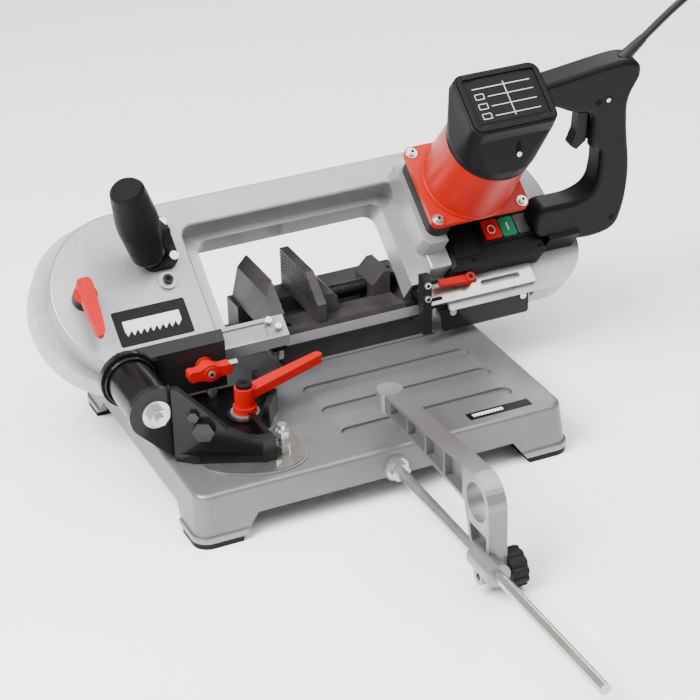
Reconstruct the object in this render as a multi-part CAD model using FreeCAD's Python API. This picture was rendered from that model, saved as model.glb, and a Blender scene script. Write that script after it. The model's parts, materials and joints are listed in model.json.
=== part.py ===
import FreeCAD, Part
import math
import os
from FreeCAD import Vector

# Horizontal metal-cutting band saw. Millimetres, +Z up, +X along the blade towards the motor, +Y to the back.
# The origin is the centre of the rectangle of the feet, on the ground.
# Bow pieces are drawn in the bow's own frame (x, w, h) and placed by in_bow(): w runs up the tilted bow, from the
# cutting strand towards the top bridge, and h stands out of its front face.

# ---- driving dimensions ----
GAP = 0.3                       # clearance between bodies that move against each other
FIT = 0.05                      # radial clearance of a shaft in its bore

BASE_TOP_X, BASE_TOP_Y = 215.0, 174.0       # half sizes of the base's top
BASE_FOOT_X, BASE_FOOT_Y = 221.0, 182.0     # half sizes at the bottom flange
BASE_Z = 60.0
BASE_WALL = 5.0
FOOT_Z = 5.0
SKIRT_Z = 28.0                  # lower edge of the skirt between the feet
FOOT_LENGTH_X, FOOT_LENGTH_Y = 54.0, 48.0

BLADE_Y, BLADE_Z = 33.0, 97.5   # middle of the cutting strand
BLADE_WIDTH, BLADE_THICK = 13.0, 0.65
BOW_TILT = 40.0
WHEEL_XL, WHEEL_XR = -186.0, 230.0
WHEEL_R = 79.6
WHEEL_W = 80.0
GUIDE_XL, GUIDE_XR = -36.0, 155.0
ROLLER_R, ROLLER_HALF = 5.5, 6.5

PLATEAU_H, FLANGE_H, BACK_H = 50.0, 18.0, -14.0
CASTING_WALL = 4.5
COVER_THICK = 3.0
PLATEAU = dict(r=97.0, xl=-183.0, xr=227.0, cw=79.0, left=-114.0, right=152.0, top=142.0, foot=26.0)
FLANGE = dict(r=100.0, xl=-196.0, xr=240.0, cw=83.0, left=-93.0, right=136.0, top=134.0, foot=None)

BULGE_X, BULGE_W, BULGE_R = 300.0, 40.0, 57.0    # fuller lower right end of the flange

MOTOR_X, MOTOR_W = 208.0, 102.0
PEDESTAL_H, SPACER_H, MOTOR_FLANGE_H, MOTOR_BODY_H, MOTOR_TOP_H = 78.0, 101.0, 108.0, 196.0, 254.0
MOTOR_HALF_X, MOTOR_HALF_W = 61.0, 51.0
MOTOR_R = 52.0
NOTCH_X, NOTCH_W = 172.0, 76.0

HINGE_X, HINGE_Z = -224.0, 120.0
HINGE_TUBE_R, HINGE_RING_R, HINGE_BOLT_R, HINGE_END_R = 26.0, 32.0, 9.0, 5.0
CHEEK_FRONT, CHEEK_BACK = -89.0, -81.3
BRACKET_X0, BRACKET_X1 = -230.0, -110.0
PIVOT_X, PIVOT_Y = -112.0, -55.0
STUD_X, STUD_Y = -99.0, -127.0
ARM_Z, ARM_FLOOR_Z = 62.3, 71.0

BED_X0, BED_X1, BED_Y0, BED_Y1, BED_Z = -26.0, 161.0, 40.0, 157.0, 104.0
BED_STEP_X = 130.0              # the bed is lower from here on, under the foot of the bow
JAW_Y0, JAW_Y1, JAW_Z = 45.0, 152.0, 153.0
FIXED_JAW_X, MOVING_JAW_X = -20.0, 20.5
SCREW_Y, SCREW_Z, SCREW_R = 101.0, 108.0, 9.0

ROD_X, ROD_Z, ROD_R = 10.0, 36.0, 6.0
ROD_FRONT = -610.0
STOP_Y = -379.0

TENSION_X, TENSION_W = -245.0, 82.0
SWITCH_X0, SWITCH_X1, SWITCH_W0, SWITCH_W1 = 178.0, 300.0, 17.0, 73.0
HANDLE_Y, HANDLE_Z, HANDLE_LEAN = 37.0, 165.0, 12.0
CORD_D = 9.0

PLATE_X, PLATE_Y = -130.0, -106.0       # middle of the scale plate
PLATE_OUTLINE = [(-58, 4), (-54, -28), (-14, -52), (18, -58), (48, -46), (58, -12), (50, 34), (-8, 54), (-54, 40)]
BED_SCREWS = [(-12.0, 58.0), (-12.0, 138.0), (150.0, 50.0), (150.0, 138.0)]
NUT_X0, NUT_X1, NUT_TOP = 104.0, 126.0, 132.0
WHEEL_X0, WHEEL_X1 = 224.0, 240.0
STOP_X0, STOP_X1 = 9.0, 30.0
POST_Y = -386.0
BEND_R = 32.0
KNOB_Z = 22.0
BRACKET_W = 14.0                # the hinge bracket fills the front of the left leg up to this line
KNOB_X, KNOB_MID_Z = -136.0, 112.0
GEAR_R, PINION_R, GEAR_H0, GEAR_H1 = 22.0, 8.5, 8.4, 13.0
ROLLER_OFFSET = BLADE_THICK / 2 + GAP + ROLLER_R
RIGHT_LEVER_X, RIGHT_LEVER_W = 199.0, 10.5
BUTTONS = [("stop_button", 228.5, 249.0), ("start_button", 251.0, 269.0), ("pilot_lamp", 271.0, 288.0)]
BUTTON_W0, BUTTON_W1 = 43.0, 67.0
HANDLE_OUTER = [(284, -4), (312, -6), (334, -18), (366, -21), (396, -14), (403, 22), (402, 70), (389, 128),
                (384, 168), (397, 196), (394, 212), (376, 219), (350, 217), (300, 210), (240, 202), (240, 182),
                (290, 176), (314, 162), (341, 158), (343, 134), (342, 108), (358, 106), (361, 72), (358, 46),
                (336, 36), (312, 36), (284, 37)]
TRIGGER = [(326, 156), (338, 154), (341, 116), (330, 106), (322, 112), (327, 130)]
GRIP_START, GRIP_RUN = Vector(-164.0, 110.0, 65.5), Vector(-0.27, 0.36, 0.88).normalize()
GRIP_LENGTH = 108.0
CORD_DIR = Vector(0.87, 0.39, 0.30).normalize()
CORD_ROOT = Vector(383.0, -5.0, 375.0)
RELIEF_LENGTH = 34.0
COIL_X, COIL_Y, COIL_R, COIL_HALF, COIL_Z = 650.0, 40.0, 52.0, 14.0, 37.0
PLUG_X, PLUG_Y, PLUG_Z, PLUG_R = 702.0, -21.5, 14.0, 13.5
CORD_ROUTE = [(412.6, 8.3, 385.2), (467.0, 32.6, 405.0), (540.0, 66.0, 419.0), (609.0, 103.0, 397.0),
              (645.0, 132.0, 325.0), (652.0, 150.0, 240.0), (643.0, 158.0, 158.0), (622.0, 152.0, 86.0),
              (604.0, 120.0, 42.0), (598.0, 82.0, 32.0), (598.0, 48.0, 31.5)]
BUTTON_RISE = {"stop_button": 4.0, "start_button": 3.0, "pilot_lamp": 3.0}
ROLLERS = {"left_front_roller": (GUIDE_XL, -1, 83.5), "left_back_roller": (GUIDE_XL, 1, 83.5),
           "right_front_roller": (GUIDE_XR, -1, 91.0), "right_back_roller": (GUIDE_XR, 1, 91.0)}


# ---- helpers ----
def box(x0, x1, y0, y1, z0, z1):
    return Part.makeBox(x1 - x0, y1 - y0, z1 - z0, Vector(x0, y0, z0))


def rod(start, end, r):
    a, b = Vector(*start), Vector(*end)
    return Part.makeCylinder(r, (b - a).Length, a, b - a)


def tube(start, end, outer, inner):
    return rod(start, end, outer).cut(rod(start, end, inner))


def prism(points, depth):
    pts = [Vector(*p) for p in points]
    return Part.Face(Part.makePolygon(pts + pts[:1])).extrude(Vector(*depth))


def smooth_prism(points, depth):
    """Prism whose closed outline is a smooth curve drawn inside the corner points."""
    curve = Part.BSplineCurve()
    curve.buildFromPoles([Vector(*p) for p in points], True, 2)
    return Part.Face(Part.Wire([curve.toShape()])).extrude(Vector(*depth))


def tangent_arc(before, corner, after, share):
    """Start, middle and end of the arc that rounds a corner, and its radius."""
    into, out = corner - before, after - corner
    reach = share * min(into.Length, out.Length)
    half_turn = into.getAngle(out) / 2
    radius = reach / math.tan(half_turn)
    start, end = corner - into.normalize() * reach, corner + out.normalize() * reach
    inward = ((start + end) * 0.5 - corner).normalize()
    return start, corner + inward * (radius / math.cos(half_turn) - radius), end, radius


def rounded_prism(points, depth):
    """Prism whose corners are all rounded by tangent arcs, as large as the sides allow."""
    pts = [Vector(*p) for p in points]
    arcs = [tangent_arc(a, b, c, 0.48) for a, b, c in zip(pts[-1:] + pts[:-1], pts, pts[1:] + pts[:1])]
    edges = []
    for (start, middle, end, _), following in zip(arcs, arcs[1:] + arcs[:1]):
        edges += [Part.Arc(start, middle, end).toShape(), Part.LineSegment(end, following[0]).toShape()]
    return Part.Face(Part.Wire(edges)).extrude(Vector(*depth))


def fuse(first, *others):
    return first.fuse(list(others)).removeSplitter()


def group(solids):
    return Part.makeCompound(list(solids))


def cut(shape, *tools):
    return shape.cut(list(tools))


def edges_along(shape, axis, low=None, high=None):
    """Straight edges parallel to an axis, whose middle lies in the box low..high."""
    found = []
    direction = Vector(*axis)
    for edge in shape.Edges:
        if edge.Curve.TypeId != "Part::GeomLine":
            continue
        ends = [v.Point for v in edge.Vertexes]
        run = (ends[1] - ends[0]).normalize()
        middle = (ends[0] + ends[1]) * 0.5
        inside = low is None or all(low[i] <= middle[i] <= high[i] for i in range(3))
        if abs(abs(run.dot(direction)) - 1) < 1e-6 and inside:
            found.append(edge)
    return found


def edges_at(shape, axis, level, tolerance=0.01):
    """All edges lying in the plane where one coordinate has the given level."""
    return [e for e in shape.Edges
            if abs(e.BoundBox.getPoint(0)[axis] - level) < tolerance
            and abs(e.BoundBox.getPoint(6)[axis] - level) < tolerance]


def rounded_box(x0, x1, y0, y1, z0, z1, r, axis=(0, 0, 1)):
    block = box(x0, x1, y0, y1, z0, z1)
    return block.makeFillet(r, edges_along(block, axis))


def hexagon(start, end, across):
    """Hexagonal bar between two points."""
    a, b = Vector(*start), Vector(*end)
    axis = (b - a).normalize()
    side = Vector(0, 0, 1).cross(axis)
    side = side.normalize() if side.Length > 0.1 else Vector(1, 0, 0)
    other = axis.cross(side)
    corner = across / math.sqrt(3)
    pts = [a + side * (corner * math.cos(math.radians(60 * k))) + other * (corner * math.sin(math.radians(60 * k)))
           for k in range(6)]
    return Part.Face(Part.makePolygon(pts + pts[:1])).extrude(b - a)


def in_bow(shape):
    placed = shape.copy()
    placed.rotate(Vector(0, 0, 0), Vector(1, 0, 0), BOW_TILT)
    placed.translate(Vector(0, BLADE_Y, BLADE_Z))
    return placed


def bow_point(x, w, h):
    c, s = math.cos(math.radians(BOW_TILT)), math.sin(math.radians(BOW_TILT))
    return Vector(x, BLADE_Y + w * c - h * s, BLADE_Z + w * s + h * c)


# ---- C-shaped outline of the bow ----
def c_wire(r, xl, xr, cw, left, right, top, foot, corner=14.0):
    """Closed C: two round ends joined by the bridge, with the throat open at the bottom."""
    low = cw - r
    foot = low if foot is None else foot
    reach = math.sqrt(max(r * r - (cw - foot) ** 2, 0.0))
    diag = corner * (1 - math.sqrt(0.5))
    p = Vector
    turn = p(xr + reach, foot, 0)
    middle_angle = 0.5 * (math.pi / 2 + math.atan2(foot - cw, reach))
    middle = p(xr + r * math.cos(middle_angle), cw + r * math.sin(middle_angle), 0)
    edges = [Part.LineSegment(p(left, low, 0), p(xl, low, 0)),
             Part.Arc(p(xl, low, 0), p(xl - r, cw, 0), p(xl, cw + r, 0)),
             Part.LineSegment(p(xl, cw + r, 0), p(xr, cw + r, 0)),
             Part.Arc(p(xr, cw + r, 0), middle, turn),
             Part.LineSegment(turn, p(right, foot, 0)),
             Part.LineSegment(p(right, foot, 0), p(right, top - corner, 0)),
             Part.Arc(p(right, top - corner, 0), p(right - diag, top - diag, 0), p(right - corner, top, 0)),
             Part.LineSegment(p(right - corner, top, 0), p(left + corner, top, 0)),
             Part.Arc(p(left + corner, top, 0), p(left + diag, top - diag, 0), p(left, top - corner, 0)),
             Part.LineSegment(p(left, top - corner, 0), p(left, low, 0))]
    return Part.Wire([e.toShape() for e in edges])


def c_solid(outline, h0, h1, inset=0.0):
    """C outline drawn inwards by inset, from height h0 to h1."""
    sized = dict(outline)
    sized["r"] -= inset
    sized["left"] -= inset
    sized["right"] += inset
    sized["top"] += inset
    if sized["foot"] is not None:
        sized["foot"] += inset
    solid = Part.Face(c_wire(**sized)).extrude(Vector(0, 0, h1 - h0))
    if outline is FLANGE:
        x, w, r = BULGE_X, BULGE_W, BULGE_R - inset
        solid = fuse(solid, rod((x, w, 0), (x, w, h1 - h0), r),
                     box(x - 50, x, w - r, w + r - 10, 0, h1 - h0))
    solid.translate(Vector(0, 0, h0))
    return solid


# ---- base ----


def base_casting():
    def frustum(top_x, top_y, foot_x, foot_y, z0, z1, r):
        def ring(hx, hy, z):
            plate = rounded_box(-hx, hx, -hy, hy, z - 1, z, r)
            return [f for f in plate.Faces if abs(f.CenterOfMass.z - z) < 1e-6][0].OuterWire
        return Part.makeLoft([ring(foot_x, foot_y, z0), ring(top_x, top_y, z1)], True, True)

    outer = frustum(BASE_TOP_X, BASE_TOP_Y, BASE_TOP_X + 4, BASE_TOP_Y + 5, 12.0, BASE_Z, 16.0)
    outer = outer.makeFillet(5.0, edges_at(outer, 2, BASE_Z))
    lip = rounded_box(-BASE_FOOT_X, BASE_FOOT_X, -BASE_FOOT_Y, BASE_FOOT_Y, FOOT_Z + 2, 13.0, 18.0)
    inner = rounded_box(-BASE_TOP_X + BASE_WALL, BASE_TOP_X - BASE_WALL, -BASE_TOP_Y + BASE_WALL,
                        BASE_TOP_Y - BASE_WALL, FOOT_Z, BASE_Z - BASE_WALL, 12.0)
    shell = fuse(outer, lip).cut(inner)

    reach_x, reach_y = BASE_FOOT_X - FOOT_LENGTH_X, BASE_FOOT_Y - FOOT_LENGTH_Y
    slope = 17.0
    far = 2 * BASE_FOOT_X
    arch_x = prism([(-reach_x, -far, FOOT_Z), (reach_x, -far, FOOT_Z), (reach_x - slope, -far, SKIRT_Z),
                    (-reach_x + slope, -far, SKIRT_Z)], (0, 2 * far, 0))
    arch_y = prism([(-far, -reach_y, FOOT_Z), (-far, reach_y, FOOT_Z), (-far, reach_y - slope, SKIRT_Z),
                    (-far, -reach_y + slope, SKIRT_Z)], (2 * far, 0, 0))
    shell = cut(shell, arch_x, arch_y)

    boss_outline = [(PLATE_X + x * 1.05, PLATE_Y + y * 1.05, BASE_Z - 1) for x, y in PLATE_OUTLINE]
    boss = smooth_prism(boss_outline, (0, 0, 2.0))
    pedestal = rounded_box(BED_X0 - 4, BED_X1 + 4, BED_Y0 - 5, BED_Y1 + 5, BASE_Z - 1, BASE_Z + 2, 8.0)
    hub = rod((PIVOT_X, PIVOT_Y, BASE_Z - 1), (PIVOT_X, PIVOT_Y, BASE_Z + 2), 34.0)
    rod_boss = rod((ROD_X, -BASE_TOP_Y + 2, ROD_Z), (ROD_X, -BASE_TOP_Y - 3.6, ROD_Z), 15.0)
    rod_core = rod((ROD_X, -BASE_TOP_Y + 20, ROD_Z), (ROD_X, -BASE_TOP_Y + 2, ROD_Z), 15.0)
    shell = fuse(shell, boss, pedestal, hub, rod_boss, rod_core)

    grooves = []
    for y in (-20.0, -71.0, -122.0):
        x0, x1, half, deep = -28.0, 178.0, 11.0, 3.2
        groove = fuse(box(x0 + half, x1 - half, y - half, y + half, BASE_Z - deep, BASE_Z + 1),
                      rod((x0 + half, y, BASE_Z - deep), (x0 + half, y, BASE_Z + 1), half),
                      rod((x1 - half, y, BASE_Z - deep), (x1 - half, y, BASE_Z + 1), half))
        grooves.append(groove)
    bores = [rod((ROD_X, -BASE_TOP_Y - 20, ROD_Z), (ROD_X, -BASE_TOP_Y + 30, ROD_Z), ROD_R + FIT),
             rod((PIVOT_X, PIVOT_Y, 40), (PIVOT_X, PIVOT_Y, 80), 8.0 + FIT),
             rod((STUD_X, STUD_Y, 40), (STUD_X, STUD_Y, 80), 5.0 + FIT)]
    return cut(shell, *grooves, *bores)


def rubber_feet():
    pads = []
    for sx in (-1, 1):
        for sy in (-1, 1):
            x0, x1 = sorted((sx * (BASE_FOOT_X - 1), sx * (BASE_FOOT_X - FOOT_LENGTH_X + 2)))
            y0, y1 = sorted((sy * (BASE_FOOT_Y - 1), sy * (BASE_FOOT_Y - FOOT_LENGTH_Y + 2)))
            pad = box(x0, x1, y0, y1, 0, FOOT_Z + 2)
            corner = [e for e in edges_along(pad, (0, 0, 1))
                      if abs(e.CenterOfMass.x) > BASE_FOOT_X - 2 and abs(e.CenterOfMass.y) > BASE_FOOT_Y - 2]
            pads.append(pad.makeFillet(17.0, corner))
    return group(pads)


# ---- vise ----
def vise_bed():
    bed = box(BED_X0, BED_X1, BED_Y0, BED_Y1, BASE_Z + 2, BED_Z)
    back = box(-46.0, BED_X0, BED_Y0 + 46, BED_Y1, BASE_Z + 2, BED_Z)
    trough = box(-50.0, BED_X1 + 1, SCREW_Y - 22, SCREW_Y + 22, BED_Z - 20, BED_Z + 1)
    step = fuse(box(BED_STEP_X, BED_X1 + 1, BED_Y0 - 1, 62.0, BED_Z - 24, BED_Z + 1),
                box(NUT_X1 + 1, BED_X1 + 1, 58.0, 110.0, BED_Z - 12, BED_Z + 1))
    sweep = rod((PIVOT_X, PIVOT_Y, 75.0), (PIVOT_X, PIVOT_Y, BED_Z + 1), 129.5)
    lip = prism([(BED_X0 - 1, BED_Y0 - 1, BED_Z - 8), (BED_X0 - 1, BED_Y0 - 1, BED_Z + 1),
                 (BED_X0 - 1, BED_Y0 + 6, BED_Z + 1), (BED_X0 - 1, BED_Y0 + 2, BED_Z - 8)], (400, 0, 0))
    holes = [rod((x, y, BED_Z - 50), (x, y, BED_Z + 1), 4.0 + FIT) for x, y in BED_SCREWS]
    return cut(fuse(bed, back), trough, step, lip, sweep, *holes)


def jaw_profile(x, lift=GAP):
    """Side view of a jaw: low at the front, sloping up to a level top."""
    return [(x, JAW_Y0, BED_Z + lift), (x, JAW_Y0, BED_Z + 22), (x, JAW_Y0 + 34, JAW_Z), (x, JAW_Y1, JAW_Z),
            (x, JAW_Y1, BED_Z + lift)]


def fixed_jaw():
    block = prism(jaw_profile(-44.0, 0.0), (FIXED_JAW_X + 44.0, 0, 0))
    back = prism([(-50, JAW_Y0 - 1, BED_Z - 2), (-42, JAW_Y0 - 1, BED_Z - 2), (-33, JAW_Y0 - 1, 141.0),
                  (-22, JAW_Y0 - 1, JAW_Z), (-22, JAW_Y0 - 1, 160.0), (-50, JAW_Y0 - 1, 160.0)], (0, 120, 0))
    jaw = block.cut(back)
    grooves = [box(FIXED_JAW_X - 0.8, FIXED_JAW_X + 1, JAW_Y0 - 1, JAW_Y1 + 1, z, z + 1.5)
               for z in [BED_Z + 6 + 5 * k for k in range(9)]]
    return cut(jaw, *grooves)


def moving_jaw():
    jaw = prism(jaw_profile(MOVING_JAW_X), (11.0, 0, 0))
    cuts = [box(MOVING_JAW_X - 1, MOVING_JAW_X + 0.9, JAW_Y0 - 1, JAW_Y1 + 1, z, z + 1.6)
            for z in [BED_Z + 5 + 4 * k for k in range(11)]]
    cuts += [box(MOVING_JAW_X - 1, MOVING_JAW_X + 0.9, y, y + 1.6, BED_Z + 20, JAW_Z + 1)
             for y in [JAW_Y0 + 26 + 6 * k for k in range(14)]]
    return cut(jaw, *cuts)


def jaw_carriage():
    x0, x1 = MOVING_JAW_X + 11.0, MOVING_JAW_X + 33.0
    body = box(x0, x1, JAW_Y0 + 18, JAW_Y1 - 10, BED_Z + GAP, BED_Z + 24)
    body = body.makeChamfer(6.0, edges_along(body, (0, 1, 0), (x1 - 1, 0, BED_Z + 20), (x1 + 1, 200, BED_Z + 30)))
    tongue = box(x0, x1, SCREW_Y - 22 + GAP, SCREW_Y + 22 - GAP, BED_Z - 19, BED_Z + GAP)
    seat = rod((x1 - 12, SCREW_Y, SCREW_Z), (x1 + 1, SCREW_Y, SCREW_Z), 6.0 + FIT)
    collar = rod((x0 + 4, SCREW_Y, SCREW_Z), (x0 + 10 + FIT, SCREW_Y, SCREW_Z), 10.0 + FIT)
    return cut(fuse(body, tongue), seat, collar)


def vise_nut_block():
    block = box(NUT_X0, NUT_X1, SCREW_Y - 24, SCREW_Y + 24, BED_Z, NUT_TOP)
    top_edge = edges_along(block, (0, 1, 0), (NUT_X0 - 1, 0, NUT_TOP - 1), (NUT_X0 + 1, 200, NUT_TOP + 1))
    block = block.makeChamfer(15.0, top_edge)
    foot = box(NUT_X0, NUT_X1, SCREW_Y - 22 + 0.1, SCREW_Y + 22 - 0.1, BED_Z - 20, BED_Z)
    bore = rod((NUT_X0 - 1, SCREW_Y, SCREW_Z), (NUT_X1 + 1, SCREW_Y, SCREW_Z), SCREW_R + FIT)
    return fuse(block, foot).cut(bore)


def vise_screw():
    x0 = MOVING_JAW_X + 15.0 + FIT
    seat_x = MOVING_JAW_X + 21.0
    core = rod((seat_x, SCREW_Y, SCREW_Z), (MOVING_JAW_X + 33.0 + GAP, SCREW_Y, SCREW_Z), 6.0)
    head = rod((x0, SCREW_Y, SCREW_Z), (seat_x, SCREW_Y, SCREW_Z), 10.0)
    thread = rod((MOVING_JAW_X + 33.0 + GAP, SCREW_Y, SCREW_Z), (WHEEL_X0, SCREW_Y, SCREW_Z), SCREW_R)
    end = rod((WHEEL_X0, SCREW_Y, SCREW_Z), (WHEEL_X1 + 3, SCREW_Y, SCREW_Z), 6.0)
    return fuse(head, core, thread, end)


def vise_handwheel():
    wheel = rod((WHEEL_X0, SCREW_Y, SCREW_Z), (WHEEL_X1, SCREW_Y, SCREW_Z), 16.5)
    notches = [rod((WHEEL_X0 - 1, SCREW_Y + 19 * math.cos(a), SCREW_Z + 19 * math.sin(a)),
                   (WHEEL_X1 + 1, SCREW_Y + 19 * math.cos(a), SCREW_Z + 19 * math.sin(a)), 5.0)
               for a in [math.radians(60 * k) for k in range(6)]]
    bore = rod((WHEEL_X0 - 1, SCREW_Y, SCREW_Z), (WHEEL_X1 + 5, SCREW_Y, SCREW_Z), 6.0)
    return cut(wheel, *notches, bore)


# ---- length stop ----
def stop_rod():
    return rod((ROD_X, ROD_FRONT, ROD_Z), (ROD_X, -BASE_TOP_Y + 26, ROD_Z), ROD_R)


def stop_rod_nuts():
    face = -BASE_TOP_Y - 3.6
    washer = tube((ROD_X, face, ROD_Z), (ROD_X, face - 2.0, ROD_Z), 13.0, ROD_R)
    nut = hexagon((ROD_X, face - 2.0, ROD_Z), (ROD_X, face - 11.0, ROD_Z), 19.0)
    back = hexagon((ROD_X, -BASE_TOP_Y + 20, ROD_Z), (ROD_X, -BASE_TOP_Y + 26, ROD_Z), 19.0)
    bore = rod((ROD_X, -400, ROD_Z), (ROD_X, 0, ROD_Z), ROD_R)
    return group([washer, nut.cut(bore), back.cut(bore)])


def stop_top(y):
    """Height of the finger's top edge, falling from the bend to the tip."""
    return 126.0 - (y + 345.0) * 0.068


def stop_under(y):
    return 84.0 + (y + 335.0) * 0.048


def stop_arm():
    """Ribbed angle arm: foot clamped on the rod, post up, long finger back to the work."""
    bend = stop_top(POST_Y + BEND_R) - BEND_R
    elbow = [(POST_Y + BEND_R * (1 - math.cos(a)), bend + BEND_R * math.sin(a))
             for a in [math.radians(9 * k) for k in range(11)]]
    outer = [(POST_Y, 24.0)] + elbow + [
             (-146.0, stop_top(-146.0)), (-146.0, stop_under(-146.0)), (POST_Y + 52, stop_under(POST_Y + 52)),
             (POST_Y + 46, 62.0), (POST_Y + 36, 24.0)]
    solid = prism([(STOP_X0, y, z) for y, z in outer], (STOP_X1 - STOP_X0, 0, 0))
    bays = [(-330.0, -292.0), (-288.0, -250.0), (-246.0, -208.0), (-204.0, -166.0)]
    pocket_pts = [[(a, stop_under(a) + 4), (a, stop_top(a) - 4), (b, stop_top(b) - 4), (b, stop_under(b) + 4)]
                  for a, b in bays]
    pocket_pts.append([(POST_Y + 5, 46.0), (POST_Y + 5, 66.0), (POST_Y + 41, 66.0), (POST_Y + 36, 46.0)])
    web0, web1 = STOP_X0 + 8.5, STOP_X0 + 12.5
    pockets = []
    for pts in pocket_pts:
        pockets.append(prism([(STOP_X0 - 1, y, z) for y, z in pts], (web0 - STOP_X0 + 1, 0, 0)))
        pockets.append(prism([(web1, y, z) for y, z in pts], (STOP_X1 + 1 - web1, 0, 0)))
    hole = rod((STOP_X0 - 1, POST_Y + 26, 96.0), (STOP_X1 + 1, POST_Y + 26, 96.0), 21.0)
    tip = rod((STOP_X0 + 10.5, -143.0, 91.0), (STOP_X0 + 10.5, -143.0, 113.5), 14.0)
    tip_bore = rod((STOP_X0 + 10.5, -139.0, 90.0), (STOP_X0 + 10.5, -139.0, 107.5), 8.0)
    foot = rod((ROD_X, STOP_Y - 27, ROD_Z), (ROD_X, STOP_Y + 18, ROD_Z), 13.0)
    bore = rod((ROD_X, STOP_Y - 40, ROD_Z), (ROD_X, STOP_Y + 60, ROD_Z), ROD_R + FIT)
    knob_bore = rod((STOP_X0 - 20, STOP_Y, KNOB_Z), (STOP_X1 + 10, STOP_Y, KNOB_Z), 4.0 + FIT)
    ear = rod((STOP_X0 - 8, STOP_Y, KNOB_Z), (STOP_X1, STOP_Y, KNOB_Z), 9.0)
    arm = fuse(cut(solid, *pockets, hole), tip, foot, ear)
    return cut(arm, tip_bore, bore, knob_bore)


def stop_knob():
    grip = rod((STOP_X1 + GAP, STOP_Y, KNOB_Z), (STOP_X1 + 18, STOP_Y, KNOB_Z), 21.0)
    flutes = [rod((STOP_X1 - 1, STOP_Y + 23 * math.cos(a), KNOB_Z + 23 * math.sin(a)),
                  (STOP_X1 + 20, STOP_Y + 23 * math.cos(a), KNOB_Z + 23 * math.sin(a)), 3.6)
              for a in [math.radians(30 * k) for k in range(12)]]
    stem = rod((STOP_X0 - 6, STOP_Y, KNOB_Z), (STOP_X1 + 4, STOP_Y, KNOB_Z), 4.0)
    return fuse(cut(grip, *flutes), stem)


# ---- swivel arm ----
def swivel_arm():
    floor_pts = [(-205, -97), (-188, -113), (-126, -141), (-112, -139), (-109, -74), (-93, -78), (-69, -44),
                 (-69, 12), (-150, 12), (-205, -30)]
    floor = prism([(x, y, ARM_Z) for x, y in floor_pts], (0, 0, ARM_FLOOR_Z - ARM_Z))

    start, run = Vector(-205, -97, 0), Vector(79, -44, 0).normalize()
    back = Vector(-run.y, run.x, 0) * 9.0
    profile = [(-4, ARM_Z), (-4, 147.0), (2, 147.0), (27, 125.0), (53, 100.0), (73, 91.0), (90, 89.0), (90, ARM_Z)]
    wall = prism([tuple(start + run * s + Vector(0, 0, z)) for s, z in profile], tuple(back))
    end_block = box(-127, -112, -142, -128, ARM_Z, 89.0)
    side = prism([(-112, -139, ARM_Z), (-112, -139, 88.0), (-109, -74, 84.0), (-109, -74, ARM_Z)], (-7, 0, 0))
    rim_a = prism([(-109, -74, ARM_Z), (-93, -78, ARM_Z), (-95, -71, ARM_Z), (-109, -70, ARM_Z)], (0, 0, 11.0))
    rim_b = prism([(-93, -78, ARM_Z), (-69, -44, ARM_Z), (-76, -41, ARM_Z), (-97, -71, ARM_Z)], (0, 0, 25.0))
    rim_c = box(-76, -69, -44, 12, ARM_Z, 84.0)
    rim_d = prism([(-205, -97, ARM_Z), (-205, -30, ARM_Z), (-198, -30, ARM_Z), (-198, -97, ARM_Z)], (0, 0, 20.0))

    cheek_pts = [(-241, 96), (-221, 76), (-205, ARM_Z), (-185, ARM_Z), (-185, 126), (-206, 147), (-224, 120)]
    cheek = prism([(x, CHEEK_FRONT, z) for x, z in cheek_pts], (0, CHEEK_BACK - CHEEK_FRONT, 0))
    disc = rod((HINGE_X, CHEEK_FRONT, HINGE_Z), (HINGE_X, CHEEK_BACK, HINGE_Z), 29.0)
    boss = rod((PIVOT_X, PIVOT_Y, ARM_Z), (PIVOT_X, PIVOT_Y, 74.0), 20.0)
    bores = [rod((PIVOT_X, PIVOT_Y, 50), (PIVOT_X, PIVOT_Y, 90), 8.0 + FIT),
             rod((HINGE_X, -120, HINGE_Z), (HINGE_X, -60, HINGE_Z), HINGE_BOLT_R)]
    return cut(fuse(floor, wall, end_block, side, rim_a, rim_b, rim_c, rim_d, cheek, disc, boss), *bores)


def hinge_bolt():
    shank = rod((HINGE_X, CHEEK_FRONT, HINGE_Z), (HINGE_X, -2.0, HINGE_Z), HINGE_BOLT_R)
    return fuse(shank, rod((HINGE_X, CHEEK_FRONT - 18, HINGE_Z), (HINGE_X, CHEEK_FRONT, HINGE_Z), HINGE_END_R))


def hinge_nut():
    face = CHEEK_FRONT - 2.5
    washer = tube((HINGE_X, CHEEK_FRONT, HINGE_Z), (HINGE_X, face, HINGE_Z), 15.5, HINGE_END_R)
    nut = hexagon((HINGE_X, face, HINGE_Z), (HINGE_X, face - 9.0, HINGE_Z), 18.0)
    return group([washer, nut.cut(rod((HINGE_X, -120, HINGE_Z), (HINGE_X, -60, HINGE_Z), HINGE_END_R))])


def arm_wall_bolts():
    """Hexagon bolt and small screw on the skewed front wall, seated on its face."""
    normal = Vector(-0.4866, -0.8737, 0)
    solids = []
    for x, z, across, deep in ((-180.0, 101.0, 21.0, 8.0), (-189.0, 117.0, 11.0, 5.0)):
        y = -97.0 - 0.557 * (x + 205.0)
        seat = Vector(x, y, z)
        solids.append(hexagon(tuple(seat), tuple(seat + normal * deep), across))
    return group(solids)


def pivot_stud():
    stud = rod((PIVOT_X, PIVOT_Y, 42.0), (PIVOT_X, PIVOT_Y, 96.0), 8.0)
    head = hexagon((PIVOT_X, PIVOT_Y, 42.0), (PIVOT_X, PIVOT_Y, 52.0), 24.0)
    washer = tube((PIVOT_X, PIVOT_Y, 74.2), (PIVOT_X, PIVOT_Y, 76.5), 16.0, 8.0)
    return fuse(stud, head, washer)


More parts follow.
